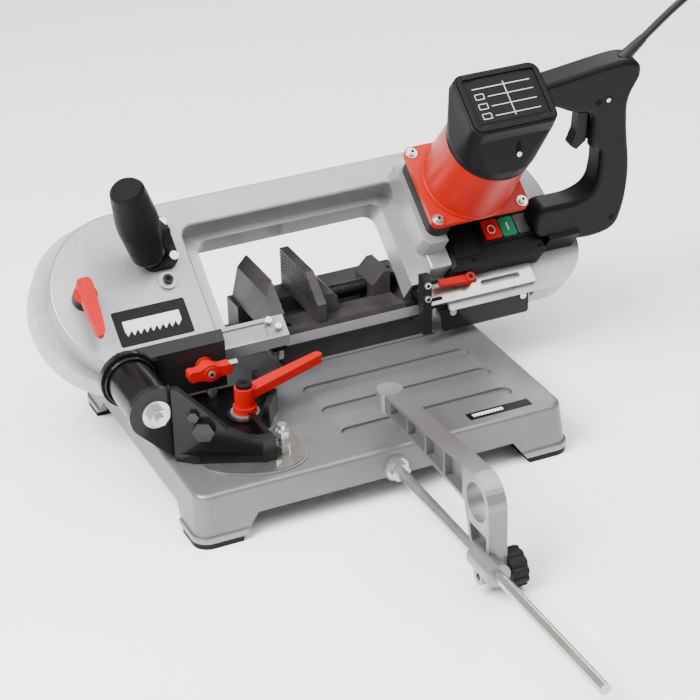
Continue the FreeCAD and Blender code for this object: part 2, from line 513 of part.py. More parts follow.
def clamp_lever():
    hub = fuse(rod((PIVOT_X, PIVOT_Y, 76.8), (PIVOT_X, PIVOT_Y, 84.0), 13.0),
               rod((PIVOT_X, PIVOT_Y, 84.0), (PIVOT_X, PIVOT_Y, 106.0), 11.0),
               rod((PIVOT_X, PIVOT_Y, 106.0), (PIVOT_X, PIVOT_Y, 111.0), 8.5))
    tip = Vector(-15.0, -30.0, 105.0)
    root = Vector(PIVOT_X, PIVOT_Y, 97.0)
    run = (tip - root).normalize()
    side = Vector(-run.y, run.x, 0).normalize()
    pts = [root - side * 8.5, root + side * 8.5, tip + side * 5.5, tip - side * 5.5]
    arm = prism([tuple(p - Vector(0, 0, 5)) for p in pts], (0, 0, 10.0))
    end = rod(tuple(tip - Vector(0, 0, 5)), tuple(tip + Vector(0, 0, 5)), 5.5)
    bore = rod((PIVOT_X, PIVOT_Y, 70), (PIVOT_X, PIVOT_Y, 96.0), 8.0 + FIT)
    return fuse(hub, arm, end).cut(bore)


def scale_plate():
    plate = smooth_prism([(PLATE_X + x, PLATE_Y + y, BASE_Z + 1) for x, y in PLATE_OUTLINE], (0, 0, 1.0))
    return cut(plate, rod((PIVOT_X, PIVOT_Y, 50), (PIVOT_X, PIVOT_Y, 80), 34.3),
               rod((STUD_X, STUD_Y, 50), (STUD_X, STUD_Y, 80), 5.1))


def stop_stud():
    stud = rod((STUD_X, STUD_Y, 44.0), (STUD_X, STUD_Y, 94.0), 5.0)
    nuts = [hexagon((STUD_X, STUD_Y, z), (STUD_X, STUD_Y, z + 7), 14.0) for z in (BASE_Z + 2.2, 80.0)]
    return fuse(stud, *nuts)


# ---- bow ----


def bow_box(x0, x1, w0, w1, h0, h1):
    return box(x0, x1, w0, w1, h0, h1)


def motor_notch():
    """Space under the motor's flange that leaves the switches clear."""
    return bow_box(NOTCH_X, 400.0, -50.0, NOTCH_W, PLATEAU_H + 0.1, SPACER_H + 0.1)


def left_guide_section():
    return [(11.5, 105.5), (11.5, 118.0), (31.0, 134.3), (38.1, 125.7), (19.2, 109.9), (15.0, 105.5)]


def bow_casting():
    body = fuse(c_solid(FLANGE, BACK_H, FLANGE_H), c_solid(PLATEAU, FLANGE_H, PLATEAU_H))
    body = body.makeFillet(3.0, [e for e in edges_at(body, 2, PLATEAU_H)])
    hollow = c_solid(FLANGE, BACK_H - 1, FLANGE_H - CASTING_WALL, CASTING_WALL)
    upper = c_solid(PLATEAU, FLANGE_H - CASTING_WALL - 1, PLATEAU_H - CASTING_WALL, CASTING_WALL)
    shell = cut(body, hollow, upper)

    pedestal = rounded_box(MOTOR_X - 64, MOTOR_X + 62, MOTOR_W - 58, MOTOR_W + 52, PLATEAU_H - 4, PEDESTAL_H, 10.0)
    room = rounded_box(MOTOR_X - 56, MOTOR_X + 54, MOTOR_W - 50, MOTOR_W + 44, 0, PEDESTAL_H - 5, 8.0)
    notch = motor_notch()
    pedestal = pedestal.cut(notch).cut(room.cut(bow_box(NOTCH_X - 6, 400, -50, NOTCH_W + 6, -1, SPACER_H)))
    bearing = rod((WHEEL_XR, WHEEL_W, FLANGE_H), (WHEEL_XR, WHEEL_W, PLATEAU_H - 2), 18.0)
    white_boss = rod((-149.0, TENSION_W, PLATEAU_H - 1), (-149.0, TENSION_W, PLATEAU_H + 4), 10.0)
    handle_pad = bow_box(304.0, 346.0, 24.0, 68.0, FLANGE_H - 1, FLANGE_H + 3)
    shell = fuse(shell, pedestal, bearing, white_boss, handle_pad)

    cuts = [bow_box(BRACKET_X0, BRACKET_X1, -40, BRACKET_W, FLANGE_H, PLATEAU_H + 9),
            bow_box(SWITCH_X0 - 0.1, 400, -40, SWITCH_W1 + 0.1, FLANGE_H, PLATEAU_H + 9)
            .cut(bow_box(303.9, 346.1, 23.9, 68.1, 0, FLANGE_H + 3)),
            bow_box(128.0, 170.0, -30, 24.0, -30, 60.0),
            bow_box(-126.0, -80.0, -10.0, 10.0, -30, 13.0),
            rod((MOTOR_X, MOTOR_W, 0), (MOTOR_X, MOTOR_W, 90), 8.0),
            rod((WHEEL_XR, WHEEL_W, 0), (WHEEL_XR, WHEEL_W, PLATEAU_H - 6), 6.0 + FIT),
            rod((TENSION_X, TENSION_W, 0), (TENSION_X, TENSION_W, 60), 6.0 + FIT)]
    placed = in_bow(cut(shell, *cuts))
    channel = left_guide_channel()
    guard_seat = box(158.0, 279.0, -20.0, 18.9, 60.0, 99.2)
    return cut(placed, channel, guard_seat, hinge_bracket())


def left_guide_channel():
    grown = [(10.9, 104.9), (10.9, 118.4), (31.1, 135.4), (38.9, 125.7), (19.2, 109.0), (15.3, 104.9)]
    return prism([(-205.0, y, z) for y, z in grown], (200.0, 0, 0))


def rear_cover():
    plate = c_solid(FLANGE, BACK_H - COVER_THICK, BACK_H, 0.6)
    return in_bow(cut(plate, bow_box(128.0, 170.0, -30, 24.0, -30, 60.0)))


def hinge_bracket():
    edge = [bow_point(0, BRACKET_W, PLATEAU_H), bow_point(0, BRACKET_W, FLANGE_H), bow_point(0, -17.0, FLANGE_H)]
    pts = [(0.0, 81.0), (0.0, 136.0), (9.0, 146.4)] + [(p.y, p.z) for p in edge] + [(edge[-1].y, 81.0)]
    plate = prism([(BRACKET_X0, y, z) for y, z in pts], (BRACKET_X1 - BRACKET_X0, 0, 0))
    barrel = rod((HINGE_X, CHEEK_BACK + GAP, HINGE_Z), (HINGE_X, -1.0, HINGE_Z), HINGE_TUBE_R)
    ring = rod((HINGE_X, -8.0, HINGE_Z), (HINGE_X, 0.0, HINGE_Z), HINGE_RING_R)
    web = box(HINGE_X, BRACKET_X0 + 40, -8.0, 0.0, 88.0, 136.0)
    bore = rod((HINGE_X, -120, HINGE_Z), (HINGE_X, -1.6, HINGE_Z), HINGE_BOLT_R + FIT)
    knob_bore = rod((KNOB_X, -1, KNOB_MID_Z), (KNOB_X, 11.4, KNOB_MID_Z), 4.0 + FIT)
    return cut(fuse(plate, barrel, ring, web), bore, left_guide_channel(), knob_bore)


def down_stop_bolt():
    bolt = rod((-127.0, 4.0, ARM_FLOOR_Z + 0.3), (-127.0, 4.0, 81.0), 5.0)
    return fuse(bolt, hexagon((-127.0, 4.0, 75.5), (-127.0, 4.0, 81.0), 13.0))


def lift_spring():
    """Flat coil of the lift spring around the barrel, in front of the bracket's ring."""
    return tube((HINGE_X, -15.0, HINGE_Z), (HINGE_X, -8.0 - GAP, HINGE_Z), 29.5, HINGE_TUBE_R + FIT)


def blade_ring(x, angle):
    """Blade cross-section in the plane x, turned from the bow plane (0) to upright (BOW_TILT)."""
    half_w, half_t = BLADE_WIDTH / 2, BLADE_THICK / 2
    a = math.radians(angle)
    wide, thick = Vector(0, math.sin(a), math.cos(a)), Vector(0, math.cos(a), -math.sin(a))
    corners = [wide * (sw * half_w) + thick * (st * half_t) for sw, st in ((1, 1), (1, -1), (-1, -1), (-1, 1))]
    pts = [Vector(x, c.y, c.z) for c in corners]
    return Part.makePolygon(pts + pts[:1])


def saw_blade():
    """Endless blade in the bow frame: two half turns, the back strand, and a cutting strand twisted upright."""
    t, half = BLADE_THICK, BLADE_WIDTH / 2
    mid = WHEEL_R + t / 2
    solids = []
    for x, keep in ((WHEEL_XL, (-400.0, WHEEL_XL)), (WHEEL_XR, (WHEEL_XR, 600.0))):
        ring = tube((x, WHEEL_W, -half), (x, WHEEL_W, half), mid + t / 2, mid - t / 2)
        solids.append(ring.common(box(keep[0], keep[1], -300, 500, -50, 50)))
    solids.append(box(WHEEL_XL, WHEEL_XR, WHEEL_W + mid - t / 2, WHEEL_W + mid + t / 2, -half, half))
    stations = [(WHEEL_XL, 0), (-168.0, 0), (-152.0, 7), (-138.0, 16), (-124.0, 26), (-112.0, 34), (-100.0, 40),
                (170.0, 40), (180.0, 34), (190.0, 26), (200.0, 16), (210.0, 7), (220.0, 0), (WHEEL_XR, 0)]
    wires = [blade_ring(x, angle) for x, angle in stations]
    for first, second in zip(wires, wires[1:]):
        solids.append(Part.makeLoft([first, second], True, True))
    whole = solids[0].fuse(solids[1:])
    return in_bow(whole)


def wheel(x, r, half):
    rim = rod((x, WHEEL_W, -half), (x, WHEEL_W, half), r)
    hollow = tube((x, WHEEL_W, 2.0), (x, WHEEL_W, half + 1), r - 8.0, 22.0)
    rear = tube((x, WHEEL_W, -half - 1), (x, WHEEL_W, -2.0), r - 8.0, 22.0)
    return cut(rim, hollow, rear)


def drive_wheel():
    shaft = rod((WHEEL_XR, WHEEL_W, -8), (WHEEL_XR, WHEEL_W, PLATEAU_H - 7), 6.0)
    gear = rod((WHEEL_XR, WHEEL_W, 7.0), (WHEEL_XR, WHEEL_W, GEAR_H1), GEAR_R)
    return in_bow(fuse(wheel(WHEEL_XR, WHEEL_R - 0.05, 8.0), shaft, gear))


def motor_armature():
    shaft = rod((MOTOR_X, MOTOR_W, GEAR_H0), (MOTOR_X, MOTOR_W, MOTOR_BODY_H - 12), 6.0)
    pinion = rod((MOTOR_X, MOTOR_W, GEAR_H0), (MOTOR_X, MOTOR_W, GEAR_H1), PINION_R)
    core = rod((MOTOR_X, MOTOR_W, MOTOR_FLANGE_H + 12), (MOTOR_X, MOTOR_W, MOTOR_BODY_H - 16), 26.0)
    return in_bow(fuse(shaft, pinion, core))


def idler_wheel():
    bore = rod((WHEEL_XL, WHEEL_W, -30), (WHEEL_XL, WHEEL_W, 60), 8.0 + FIT)
    return in_bow(wheel(WHEEL_XL, WHEEL_R - 0.05, 8.0).cut(bore))


def tension_slide():
    block = bow_box(WHEEL_XL - 26, WHEEL_XL + 30, WHEEL_W - 18, WHEEL_W + 18, 20.0, PLATEAU_H - CASTING_WALL - GAP)
    axle = rod((WHEEL_XL, WHEEL_W, -9.0), (WHEEL_XL, WHEEL_W, 22.0), 8.0)
    return in_bow(fuse(block, axle))


def tension_lever():
    hub = rod((TENSION_X, TENSION_W, PLATEAU_H + GAP), (TENSION_X, TENSION_W, PLATEAU_H + 16), 13.0)
    shaft = rod((TENSION_X, TENSION_W, 26.0), (TENSION_X, TENSION_W, PLATEAU_H + 2), 6.0)
    cam = rod((TENSION_X + 3.0, TENSION_W, 26.0), (TENSION_X + 3.0, TENSION_W, 40.0), 11.0)
    h0, h1 = PLATEAU_H + 16, PLATEAU_H + 26
    outline = [(-9, 0), (-9, 14), (0, 16), (9, 14), (9, 0), (6, -46), (3, -54), (-3, -54), (-6, -46)]
    bar = smooth_prism([(TENSION_X + x, TENSION_W + w, h0) for x, w in outline], (0, 0, h1 - h0))
    return in_bow(fuse(hub, shaft, cam, bar))


def axle_pin(x, y, z0, z1):
    return rod((x, y, z0), (x, y, z1), 2.5)


def left_guide_arm():
    section = left_guide_section()
    bar = prism([(-165.0, y, z) for y, z in section], (165.0 + GUIDE_XL - 8, 0, 0))
    tip = prism([(GUIDE_XL - 22.0, y, z) for y, z in section], (29.0, 0, 0))
    head = box(GUIDE_XL - 14, GUIDE_XL + 7, 11.5, 44.2, 105.5, 118.0)
    low, high = Vector(0, *section[1]), Vector(0, *section[2])
    run = high - low
    normal = Vector(0, -run.z, run.y).normalize()
    corners = [low + run * 0.18 + normal, low + run * 0.82 + normal, low + run * 0.82 - normal * 2.2,
               low + run * 0.18 - normal * 2.2]
    recess = prism([(-107.0, p.y, p.z) for p in corners], (107.0 + GUIDE_XL - 16, 0, 0))
    return fuse(bar, tip, head).cut(recess)


def left_guide_block():
    block = box(GUIDE_XL - 12, GUIDE_XL + 5, 16.0, 44.0, 97.4, 105.5)
    slot = box(GUIDE_XL - 20, GUIDE_XL + 20, BLADE_Y - 1.0, BLADE_Y + 1.0, 90.0, 104.6)
    pins = [axle_pin(GUIDE_XL, BLADE_Y + s * ROLLER_OFFSET, 83.0, 98.0) for s in (-1, 1)]
    return fuse(cut(block, slot), *pins)


def right_guide_block():
    column = box(136.5, 147.5, 12.0, 24.0, 75.0, 148.0)
    head = box(138.0, 162.0, 14.0, 46.0, 105.2, 117.0)
    slot = box(130.0, 170.0, BLADE_Y - 1.0, BLADE_Y + 1.0, 90.0, 105.0)
    pins = [axle_pin(GUIDE_XR, BLADE_Y + s * ROLLER_OFFSET, 90.0, 106.0) for s in (-1, 1)]
    return fuse(cut(fuse(column, head), slot), *pins)


def guide_roller(x, side, z0):
    y = BLADE_Y + side * ROLLER_OFFSET
    return tube((x, y, z0), (x, y, z0 + 2 * ROLLER_HALF), ROLLER_R, 2.5 + FIT)


def right_guide_plate():
    plate = bow_box(147.0, 282.0, -8.0, 16.5, FLANGE_H + GAP, FLANGE_H + 7)
    arm = bow_box(140.0, 150.0, -2.0, 16.5, FLANGE_H + GAP, FLANGE_H + 7)
    slot = fuse(bow_box(218.0, 262.0, 1.0, 8.0, 0, 40), rod((218, 4.5, 0), (218, 4.5, 40), 3.5),
                rod((262, 4.5, 0), (262, 4.5, 40), 3.5))
    slot2 = fuse(bow_box(186.0, 208.0, 7.0, 14.0, 0, 40), rod((186, 10.5, 0), (186, 10.5, 40), 3.5),
                 rod((208, 10.5, 0), (208, 10.5, 40), 3.5))
    placed = in_bow(cut(fuse(plate, arm), slot, slot2))
    return cut(placed, right_guide_block())


def right_guide_stud():
    x, w = RIGHT_LEVER_X, RIGHT_LEVER_W
    return in_bow(rod((x, w, FLANGE_H), (x, w, FLANGE_H + 14), 3.0))


def right_guide_lever():
    x, w, h = RIGHT_LEVER_X, RIGHT_LEVER_W, FLANGE_H
    hub = fuse(rod((x, w, h + 7.3), (x, w, h + 19), 6.2), rod((x, w, h + 19), (x, w, h + 22), 5.5))
    arm = prism([(x, w - 5, h + 12), (x, w + 5, h + 12), (x - 40, w + 3.5, h + 17), (x - 40, w - 3.5, h + 17)],
                (0, 0, 7.0))
    return in_bow(cut(fuse(hub, arm), rod((x, w, h), (x, w, h + 14.2), 3.0 + FIT)))


def blade_guard():
    return rounded_box(163.0, 275.0, 16.4, 18.9, 71.0, 99.0, 4.0, axis=(0, 1, 0))


def wing_knob():
    stem = rod((KNOB_X, -4.0, KNOB_MID_Z), (KNOB_X, 11.2, KNOB_MID_Z), 4.0)
    hub = rod((KNOB_X, -24.0, KNOB_MID_Z), (KNOB_X, -2.3, KNOB_MID_Z), 8.0)
    washer = rod((KNOB_X, -2.3, KNOB_MID_Z), (KNOB_X, -0.3, KNOB_MID_Z), 10.0)
    outline = [(-25, 0), (-24, 7), (-12, 5), (0, 12), (12, 5), (24, 7), (25, 0), (24, -7), (12, -5), (0, -12),
               (-12, -5), (-24, -7)]
    wing = smooth_prism([(KNOB_X + x, -9.0, KNOB_MID_Z + z) for x, z in outline], (0, -13.0, 0))
    return fuse(stem, hub, washer, wing)


# ---- motor ----
def motor_spacer():
    block = rounded_box(MOTOR_X - 58, MOTOR_X + 56, MOTOR_W - 50, MOTOR_W + 46, PEDESTAL_H, SPACER_H, 12.0)
    return in_bow(cut(block, motor_notch(), rod((MOTOR_X, MOTOR_W, 0), (MOTOR_X, MOTOR_W, 200), 8.0)))


def motor_housing():
    x, w = MOTOR_X, MOTOR_W
    flange = rounded_box(x - MOTOR_HALF_X, x + MOTOR_HALF_X, w - MOTOR_HALF_W, w + MOTOR_HALF_W, SPACER_H,
                         MOTOR_FLANGE_H, 8.0)
    body = Part.makeCone(MOTOR_R + 1, MOTOR_R - 2, MOTOR_BODY_H - MOTOR_FLANGE_H, Vector(x, w, MOTOR_FLANGE_H))
    bore = rod((x, w, MOTOR_FLANGE_H + 8), (x, w, MOTOR_BODY_H - 8), 32.0)
    shaft = rod((x, w, 0), (x, w, MOTOR_BODY_H - 10), 8.0)
    return in_bow(cut(fuse(flange, body), bore, shaft))


def cap_ring(x0, x1, w0, w1, h, r):
    plate = rounded_box(x0, x1, w0, w1, h - 1, h, r)
    return [f for f in plate.Faces if abs(f.CenterOfMass.z - h) < 1e-6][0].OuterWire


def motor_cap():
    x, w = MOTOR_X, MOTOR_W
    rings = [cap_ring(x - 50, x + 50, w - 50, w + 50, MOTOR_BODY_H, 48.0),
             cap_ring(x - 50, x + 51, w - 47, w + 51, MOTOR_BODY_H + 10, 42.0),
             cap_ring(x - 47, x + 59, w - 22, w + 56, MOTOR_TOP_H - 16, 13.0),
             cap_ring(x - 46, x + 58, w - 20, w + 55, MOTOR_TOP_H, 12.0)]
    cap = Part.makeLoft(rings, True, True)
    return in_bow(cap.makeFillet(2.0, edges_at(cap, 2, MOTOR_TOP_H)))


def bow_screws():
    """Visible screw heads of the bow: motor flange, front handle, lever boss and blade guard."""
    corners = [(MOTOR_X + sx * (MOTOR_HALF_X - 8), MOTOR_W + sw * (MOTOR_HALF_W - 8))
               for sx in (-1, 1) for sw in (-1, 1)]
    solids = [in_bow(rod((x, w, MOTOR_FLANGE_H), (x, w, MOTOR_FLANGE_H + 4), 4.5)) for x, w in corners]
    solids += [in_bow(rod((-134.5, w, PLATEAU_H + 8), (-134.5, w, PLATEAU_H + 11.5), 5.2)) for w in (106.0, 148.0)]
    solids.append(in_bow(rod((-149.0, TENSION_W, PLATEAU_H + 4), (-149.0, TENSION_W, PLATEAU_H + 8), 5.5)))
    solids += [rod((x, 16.4, 94.0), (x, 14.0, 94.0), 4.0) for x in (176.0, 267.0)]
    return group(solids)


# ---- controls ----


def switch_box():
    outer = rounded_box(SWITCH_X0, SWITCH_X1, SWITCH_W0, SWITCH_W1, FLANGE_H, PLATEAU_H, 6.0)
    outer = outer.makeChamfer(5.0, [e for e in edges_along(outer, (1, 0, 0), (0, 10, 49), (500, 20, 51))])
    inner = rounded_box(SWITCH_X0 + 3, SWITCH_X1 - 3, SWITCH_W0 + 3, SWITCH_W1 - 3, FLANGE_H - 1,
                        PLATEAU_H - 6, 4.0)
    frame = rounded_box(222.0, 294.0, 38.0, 71.0, PLATEAU_H - 1, PLATEAU_H + 2.5, 3.0)
    wells = [bow_box(x0 - GAP, x1 + GAP, BUTTON_W0 - GAP, BUTTON_W1 + GAP, 0, 60) for name, x0, x1 in BUTTONS]
    return in_bow(cut(fuse(outer, frame), inner, *wells))


def push_button(x0, x1, rise):
    body = rounded_box(x0, x1, BUTTON_W0, BUTTON_W1, PLATEAU_H - 9, PLATEAU_H + rise, 2.5)
    return in_bow(body)


# ---- D-handle, in its own leaning plane: x and t, with thickness across ----


def in_handle(shape):
    placed = shape.copy()
    placed.rotate(Vector(0, 0, 0), Vector(1, 0, 0), HANDLE_LEAN)
    placed.translate(Vector(0, HANDLE_Y, HANDLE_Z))
    return placed


def d_handle():
    plate = rounded_prism([(x, -16.0, t) for x, t in HANDLE_OUTER], (0, 32.0, 0))
    plate = plate.makeFillet(6.0, [e for e in plate.Edges if abs(e.BoundBox.YLength) < 1e-6])
    pocket = prism([(x, -7.5, t) for x, t in ((324, 159), (349, 157), (352, 106), (330, 103))], (0, 15.0, 0))
    handle = in_handle(cut(plate, pocket))
    clear = in_bow(bow_box(150, 303.7, -50, 76, -20, PLATEAU_H + 3))
    flange = in_bow(bow_box(200, 500, -60, 200, -60, FLANGE_H + 3))
    foot = in_bow(bow_box(304.0, 344.0, 26.0, 66.0, FLANGE_H + 3, PLATEAU_H + 4))
    cap_side = in_bow(bow_box(100, MOTOR_X + 59.5, 0, 200, 60, 300))
    return cut(fuse(handle, foot), clear, flange, cap_side)


def trigger():
    body = prism([(x, -7.0, t) for x, t in TRIGGER], (0, 14.0, 0))
    return in_handle(body)


def front_handle_base():
    block = rounded_box(-169.0, -129.0, 96.0, 158.0, PLATEAU_H, PLATEAU_H + 8, 12.0)
    column = rounded_box(-172.0, -150.0, 98.0, 128.0, PLATEAU_H + 7, PLATEAU_H + 15, 8.0)
    saddle = prism([(-152.0, w, PLATEAU_H + h) for w, h in ((108, 7), (108, 34), (124, 44), (146, 22), (150, 7))],
                   (12.0, 0, 0))
    return in_bow(fuse(block, column, saddle)).cut(front_grip())


def front_grip():
    stations = [(0, 17.0), (4, 19.0), (20, 20.5), (48, 23.5), (62, 23.5), (92, 20.5), (104, 19.0), (108, 16.0)]
    profile = [Vector(0, 0, 0)] + [Vector(r, 0, s) for s, r in stations] + [Vector(0, 0, GRIP_LENGTH)]
    half = Part.Face(Part.makePolygon(profile + profile[:1]))
    grip = half.revolve(Vector(0, 0, 0), Vector(0, 0, 1), 360)
    grip.Placement = FreeCAD.Placement(GRIP_START, FreeCAD.Rotation(Vector(0, 0, 1), GRIP_RUN))
    lower = in_bow(bow_box(-200, -100, 50, 200, 0, PLATEAU_H + 15))
    return in_bow(grip).cut(lower)


# ---- power cord ----


def strain_relief():
    handle = d_handle()
    cone = Part.makeCone(8.0, CORD_D / 2 + 0.8, RELIEF_LENGTH + 12, CORD_ROOT - CORD_DIR * 12, CORD_DIR)
    return cone.cut(handle)


def cord_path(points):
    """Straight runs joined by tangent arcs, each as large as its two runs allow."""
    pts = [Vector(*p) for p in points]
    edges, start = [], pts[0]
    for before, corner, after in zip(pts, pts[1:], pts[2:]):
        a, mid, b, radius = tangent_arc(before, corner, after, 0.45)
        edges += [Part.LineSegment(start, a).toShape(), Part.Arc(a, mid, b).toShape()]
        print("cord bend radius", round(radius, 1))
        start = b
    edges.append(Part.LineSegment(start, pts[-1]).toShape())
    return Part.Wire(edges)


def cord_tube():
    path = cord_path(CORD_ROUTE)
    ring = Part.Wire(Part.makeCircle(CORD_D / 2, Vector(*CORD_ROUTE[0]),
                                     Vector(*CORD_ROUTE[1]) - Vector(*CORD_ROUTE[0])))
    swept = path.makePipeShell([ring], True, True)
    expected = math.pi * CORD_D ** 2 / 4 * path.Length
    print("cord tube length", round(path.Length, 1), "volume ratio", round(swept.Volume / expected, 4))
    tail = rod((COIL_X + 15, PLUG_Y, PLUG_Z), (PLUG_X, PLUG_Y, PLUG_Z), CORD_D / 2)
    return group([swept.cut(cord_coil()), tail.cut(cord_coil())])


def cord_coil():
    return tube((COIL_X, COIL_Y, 0), (COIL_X, COIL_Y, COIL_Z), COIL_R + COIL_HALF, COIL_R - COIL_HALF)


def plug():
    body = rod((PLUG_X, PLUG_Y, PLUG_Z), (PLUG_X + 34, PLUG_Y, PLUG_Z), PLUG_R)
    pins = [rod((PLUG_X + 34, PLUG_Y + s * 9.5, PLUG_Z), (PLUG_X + 53, PLUG_Y + s * 9.5, PLUG_Z), 2.4)
            for s in (-1, 1)]
    return fuse(body, *pins)


NODES = {
    "base_casting": base_casting, "rubber_feet": rubber_feet, "vise_bed": vise_bed, "fixed_jaw": fixed_jaw,
    "moving_jaw": moving_jaw, "jaw_carriage": jaw_carriage, "vise_nut_block": vise_nut_block,
    "vise_screw": vise_screw, "vise_handwheel": vise_handwheel, "stop_rod": stop_rod,
    "stop_rod_nuts": stop_rod_nuts, "stop_arm": stop_arm, "stop_knob": stop_knob, "swivel_arm": swivel_arm,
    "hinge_bolt": hinge_bolt, "hinge_nut": hinge_nut, "arm_wall_bolts": arm_wall_bolts,
    "pivot_stud": pivot_stud, "clamp_lever": clamp_lever, "scale_plate": scale_plate, "stop_stud": stop_stud,
    "bow_casting": bow_casting, "rear_cover": rear_cover, "hinge_bracket": hinge_bracket,
    "down_stop_bolt": down_stop_bolt, "lift_spring": lift_spring, "saw_blade": saw_blade,
    "drive_wheel": drive_wheel, "motor_armature": motor_armature, "idler_wheel": idler_wheel,
    "tension_slide": tension_slide, "tension_lever": tension_lever, "left_guide_arm": left_guide_arm,
    "left_guide_block": left_guide_block, "right_guide_block": right_guide_block,
    "right_guide_plate": right_guide_plate, "right_guide_stud": right_guide_stud,
    "right_guide_lever": right_guide_lever, "blade_guard": blade_guard, "wing_knob": wing_knob,
    "motor_spacer": motor_spacer, "motor_housing": motor_housing, "motor_cap": motor_cap,
    "bow_screws": bow_screws, "switch_box": switch_box, "d_handle": d_handle, "trigger": trigger,
    "front_handle_base": front_handle_base, "front_grip": front_grip, "strain_relief": strain_relief,
    "cord_tube": cord_tube, "cord_coil": cord_coil, "plug": plug,
}

shapes = {name: build() for name, build in NODES.items()}
for name, x0, x1 in BUTTONS:
    shapes[name] = push_button(x0, x1, BUTTON_RISE[name])
for name, place in ROLLERS.items():
    shapes[name] = guide_roller(*place)

os.makedirs("parts", exist_ok=True)
for name, shape in shapes.items():
    if not shape.isValid() or any(not solid.isClosed() for solid in shape.Solids):
        raise RuntimeError("bad solid in " + name)
    shape.exportStep("parts/" + name + ".step")
    print(name, len(shape.Solids), round(shape.Volume))
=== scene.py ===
import json
import math
import bmesh
import bpy
from mathutils import Matrix, Vector


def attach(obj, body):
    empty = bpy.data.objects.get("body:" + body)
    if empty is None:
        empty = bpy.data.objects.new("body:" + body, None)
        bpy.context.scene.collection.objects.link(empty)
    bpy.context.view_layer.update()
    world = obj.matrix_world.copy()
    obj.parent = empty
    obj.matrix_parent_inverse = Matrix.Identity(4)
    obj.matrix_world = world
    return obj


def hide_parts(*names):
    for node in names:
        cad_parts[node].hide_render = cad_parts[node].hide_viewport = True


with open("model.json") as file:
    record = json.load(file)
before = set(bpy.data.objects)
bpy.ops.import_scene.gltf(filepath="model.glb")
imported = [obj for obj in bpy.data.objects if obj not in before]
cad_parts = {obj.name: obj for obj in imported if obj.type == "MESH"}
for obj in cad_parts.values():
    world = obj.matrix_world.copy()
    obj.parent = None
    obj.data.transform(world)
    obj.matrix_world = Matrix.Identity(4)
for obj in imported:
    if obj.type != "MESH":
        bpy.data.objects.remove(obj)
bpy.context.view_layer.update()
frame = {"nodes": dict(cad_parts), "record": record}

MM = 0.001                      # lengths below are millimetres, as in the CAD
nodes = frame["nodes"]

# ---- places taken from the frame ----
TILT = math.radians(40.0)
BLADE_Y, BLADE_Z = 33.0, 97.5
PLATEAU_H, MOTOR_TOP_H = 50.0, 254.0
MOTOR_X, MOTOR_W = 208.0, 102.0
TENSION_X, TENSION_W = -245.0, 82.0
WHEEL_XL, WHEEL_XR, WHEEL_W = -186.0, 230.0, 80.0
LOOP_R = 79.92                  # middle of the blade on the wheels
BLADE_HALF, BLADE_HALF_THICK, TOOTH = 6.4, 0.3, 1.6
PIVOT_X, PIVOT_Y = -112.0, -55.0
HINGE_X, HINGE_Z = -224.0, 120.0
SPRING_R, SPRING_Y, SPRING_LONG, SPRING_TURNS = 28.0, -13.8, 4.2, 3
GRIP_START, GRIP_RUN = Vector((-164.0, 110.0, 65.5)), Vector((-0.27, 0.36, 0.88)).normalized()
GRIP_BANDS = ((20.0, 20.7), (55.0, 23.7), (92.0, 20.7))        # place along the grip, radius
CAP_LOW = Vector((MOTOR_X + 12.0, MOTOR_W - 35.3, 221.0))      # foot of the recess in the cap's sloping front
CAP_UP, CAP_OUT = Vector((0, 0.616, 0.788)), Vector((0, -0.788, 0.616))
LEAN = math.radians(12.0)

BOW = Matrix.Translation((0, BLADE_Y * MM, BLADE_Z * MM)) @ Matrix.Rotation(TILT, 4, "X")
HANDLE = Matrix.Translation((0, 0.037, 0.165)) @ Matrix.Rotation(LEAN, 4, "X")
WORLD = Matrix.Identity(4)


# ---- materials ----
def ramp(nt, source, low, high, dark, light):
    """Map low..high of a value to dark..light."""
    node = nt.nodes.new("ShaderNodeMapRange")
    node.inputs["From Min"].default_value = low
    node.inputs["From Max"].default_value = high
    node.inputs["To Min"].default_value = dark
    node.inputs["To Max"].default_value = light
    nt.links.new(source, node.inputs["Value"])
    return node.outputs["Result"]


def noise(nt, scale, detail=4.0, stretch=(1, 1, 1)):
    """Noise fixed to the object, finer as scale grows."""
    coord = nt.nodes.new("ShaderNodeTexCoord")
    mapping = nt.nodes.new("ShaderNodeMapping")
    mapping.inputs["Scale"].default_value = stretch
    tex = nt.nodes.new("ShaderNodeTexNoise")
    tex.inputs["Scale"].default_value = scale
    tex.inputs["Detail"].default_value = detail
    nt.links.new(coord.outputs["Object"], mapping.inputs["Vector"])
    nt.links.new(mapping.outputs["Vector"], tex.inputs["Vector"])
    return tex.outputs["Fac"]


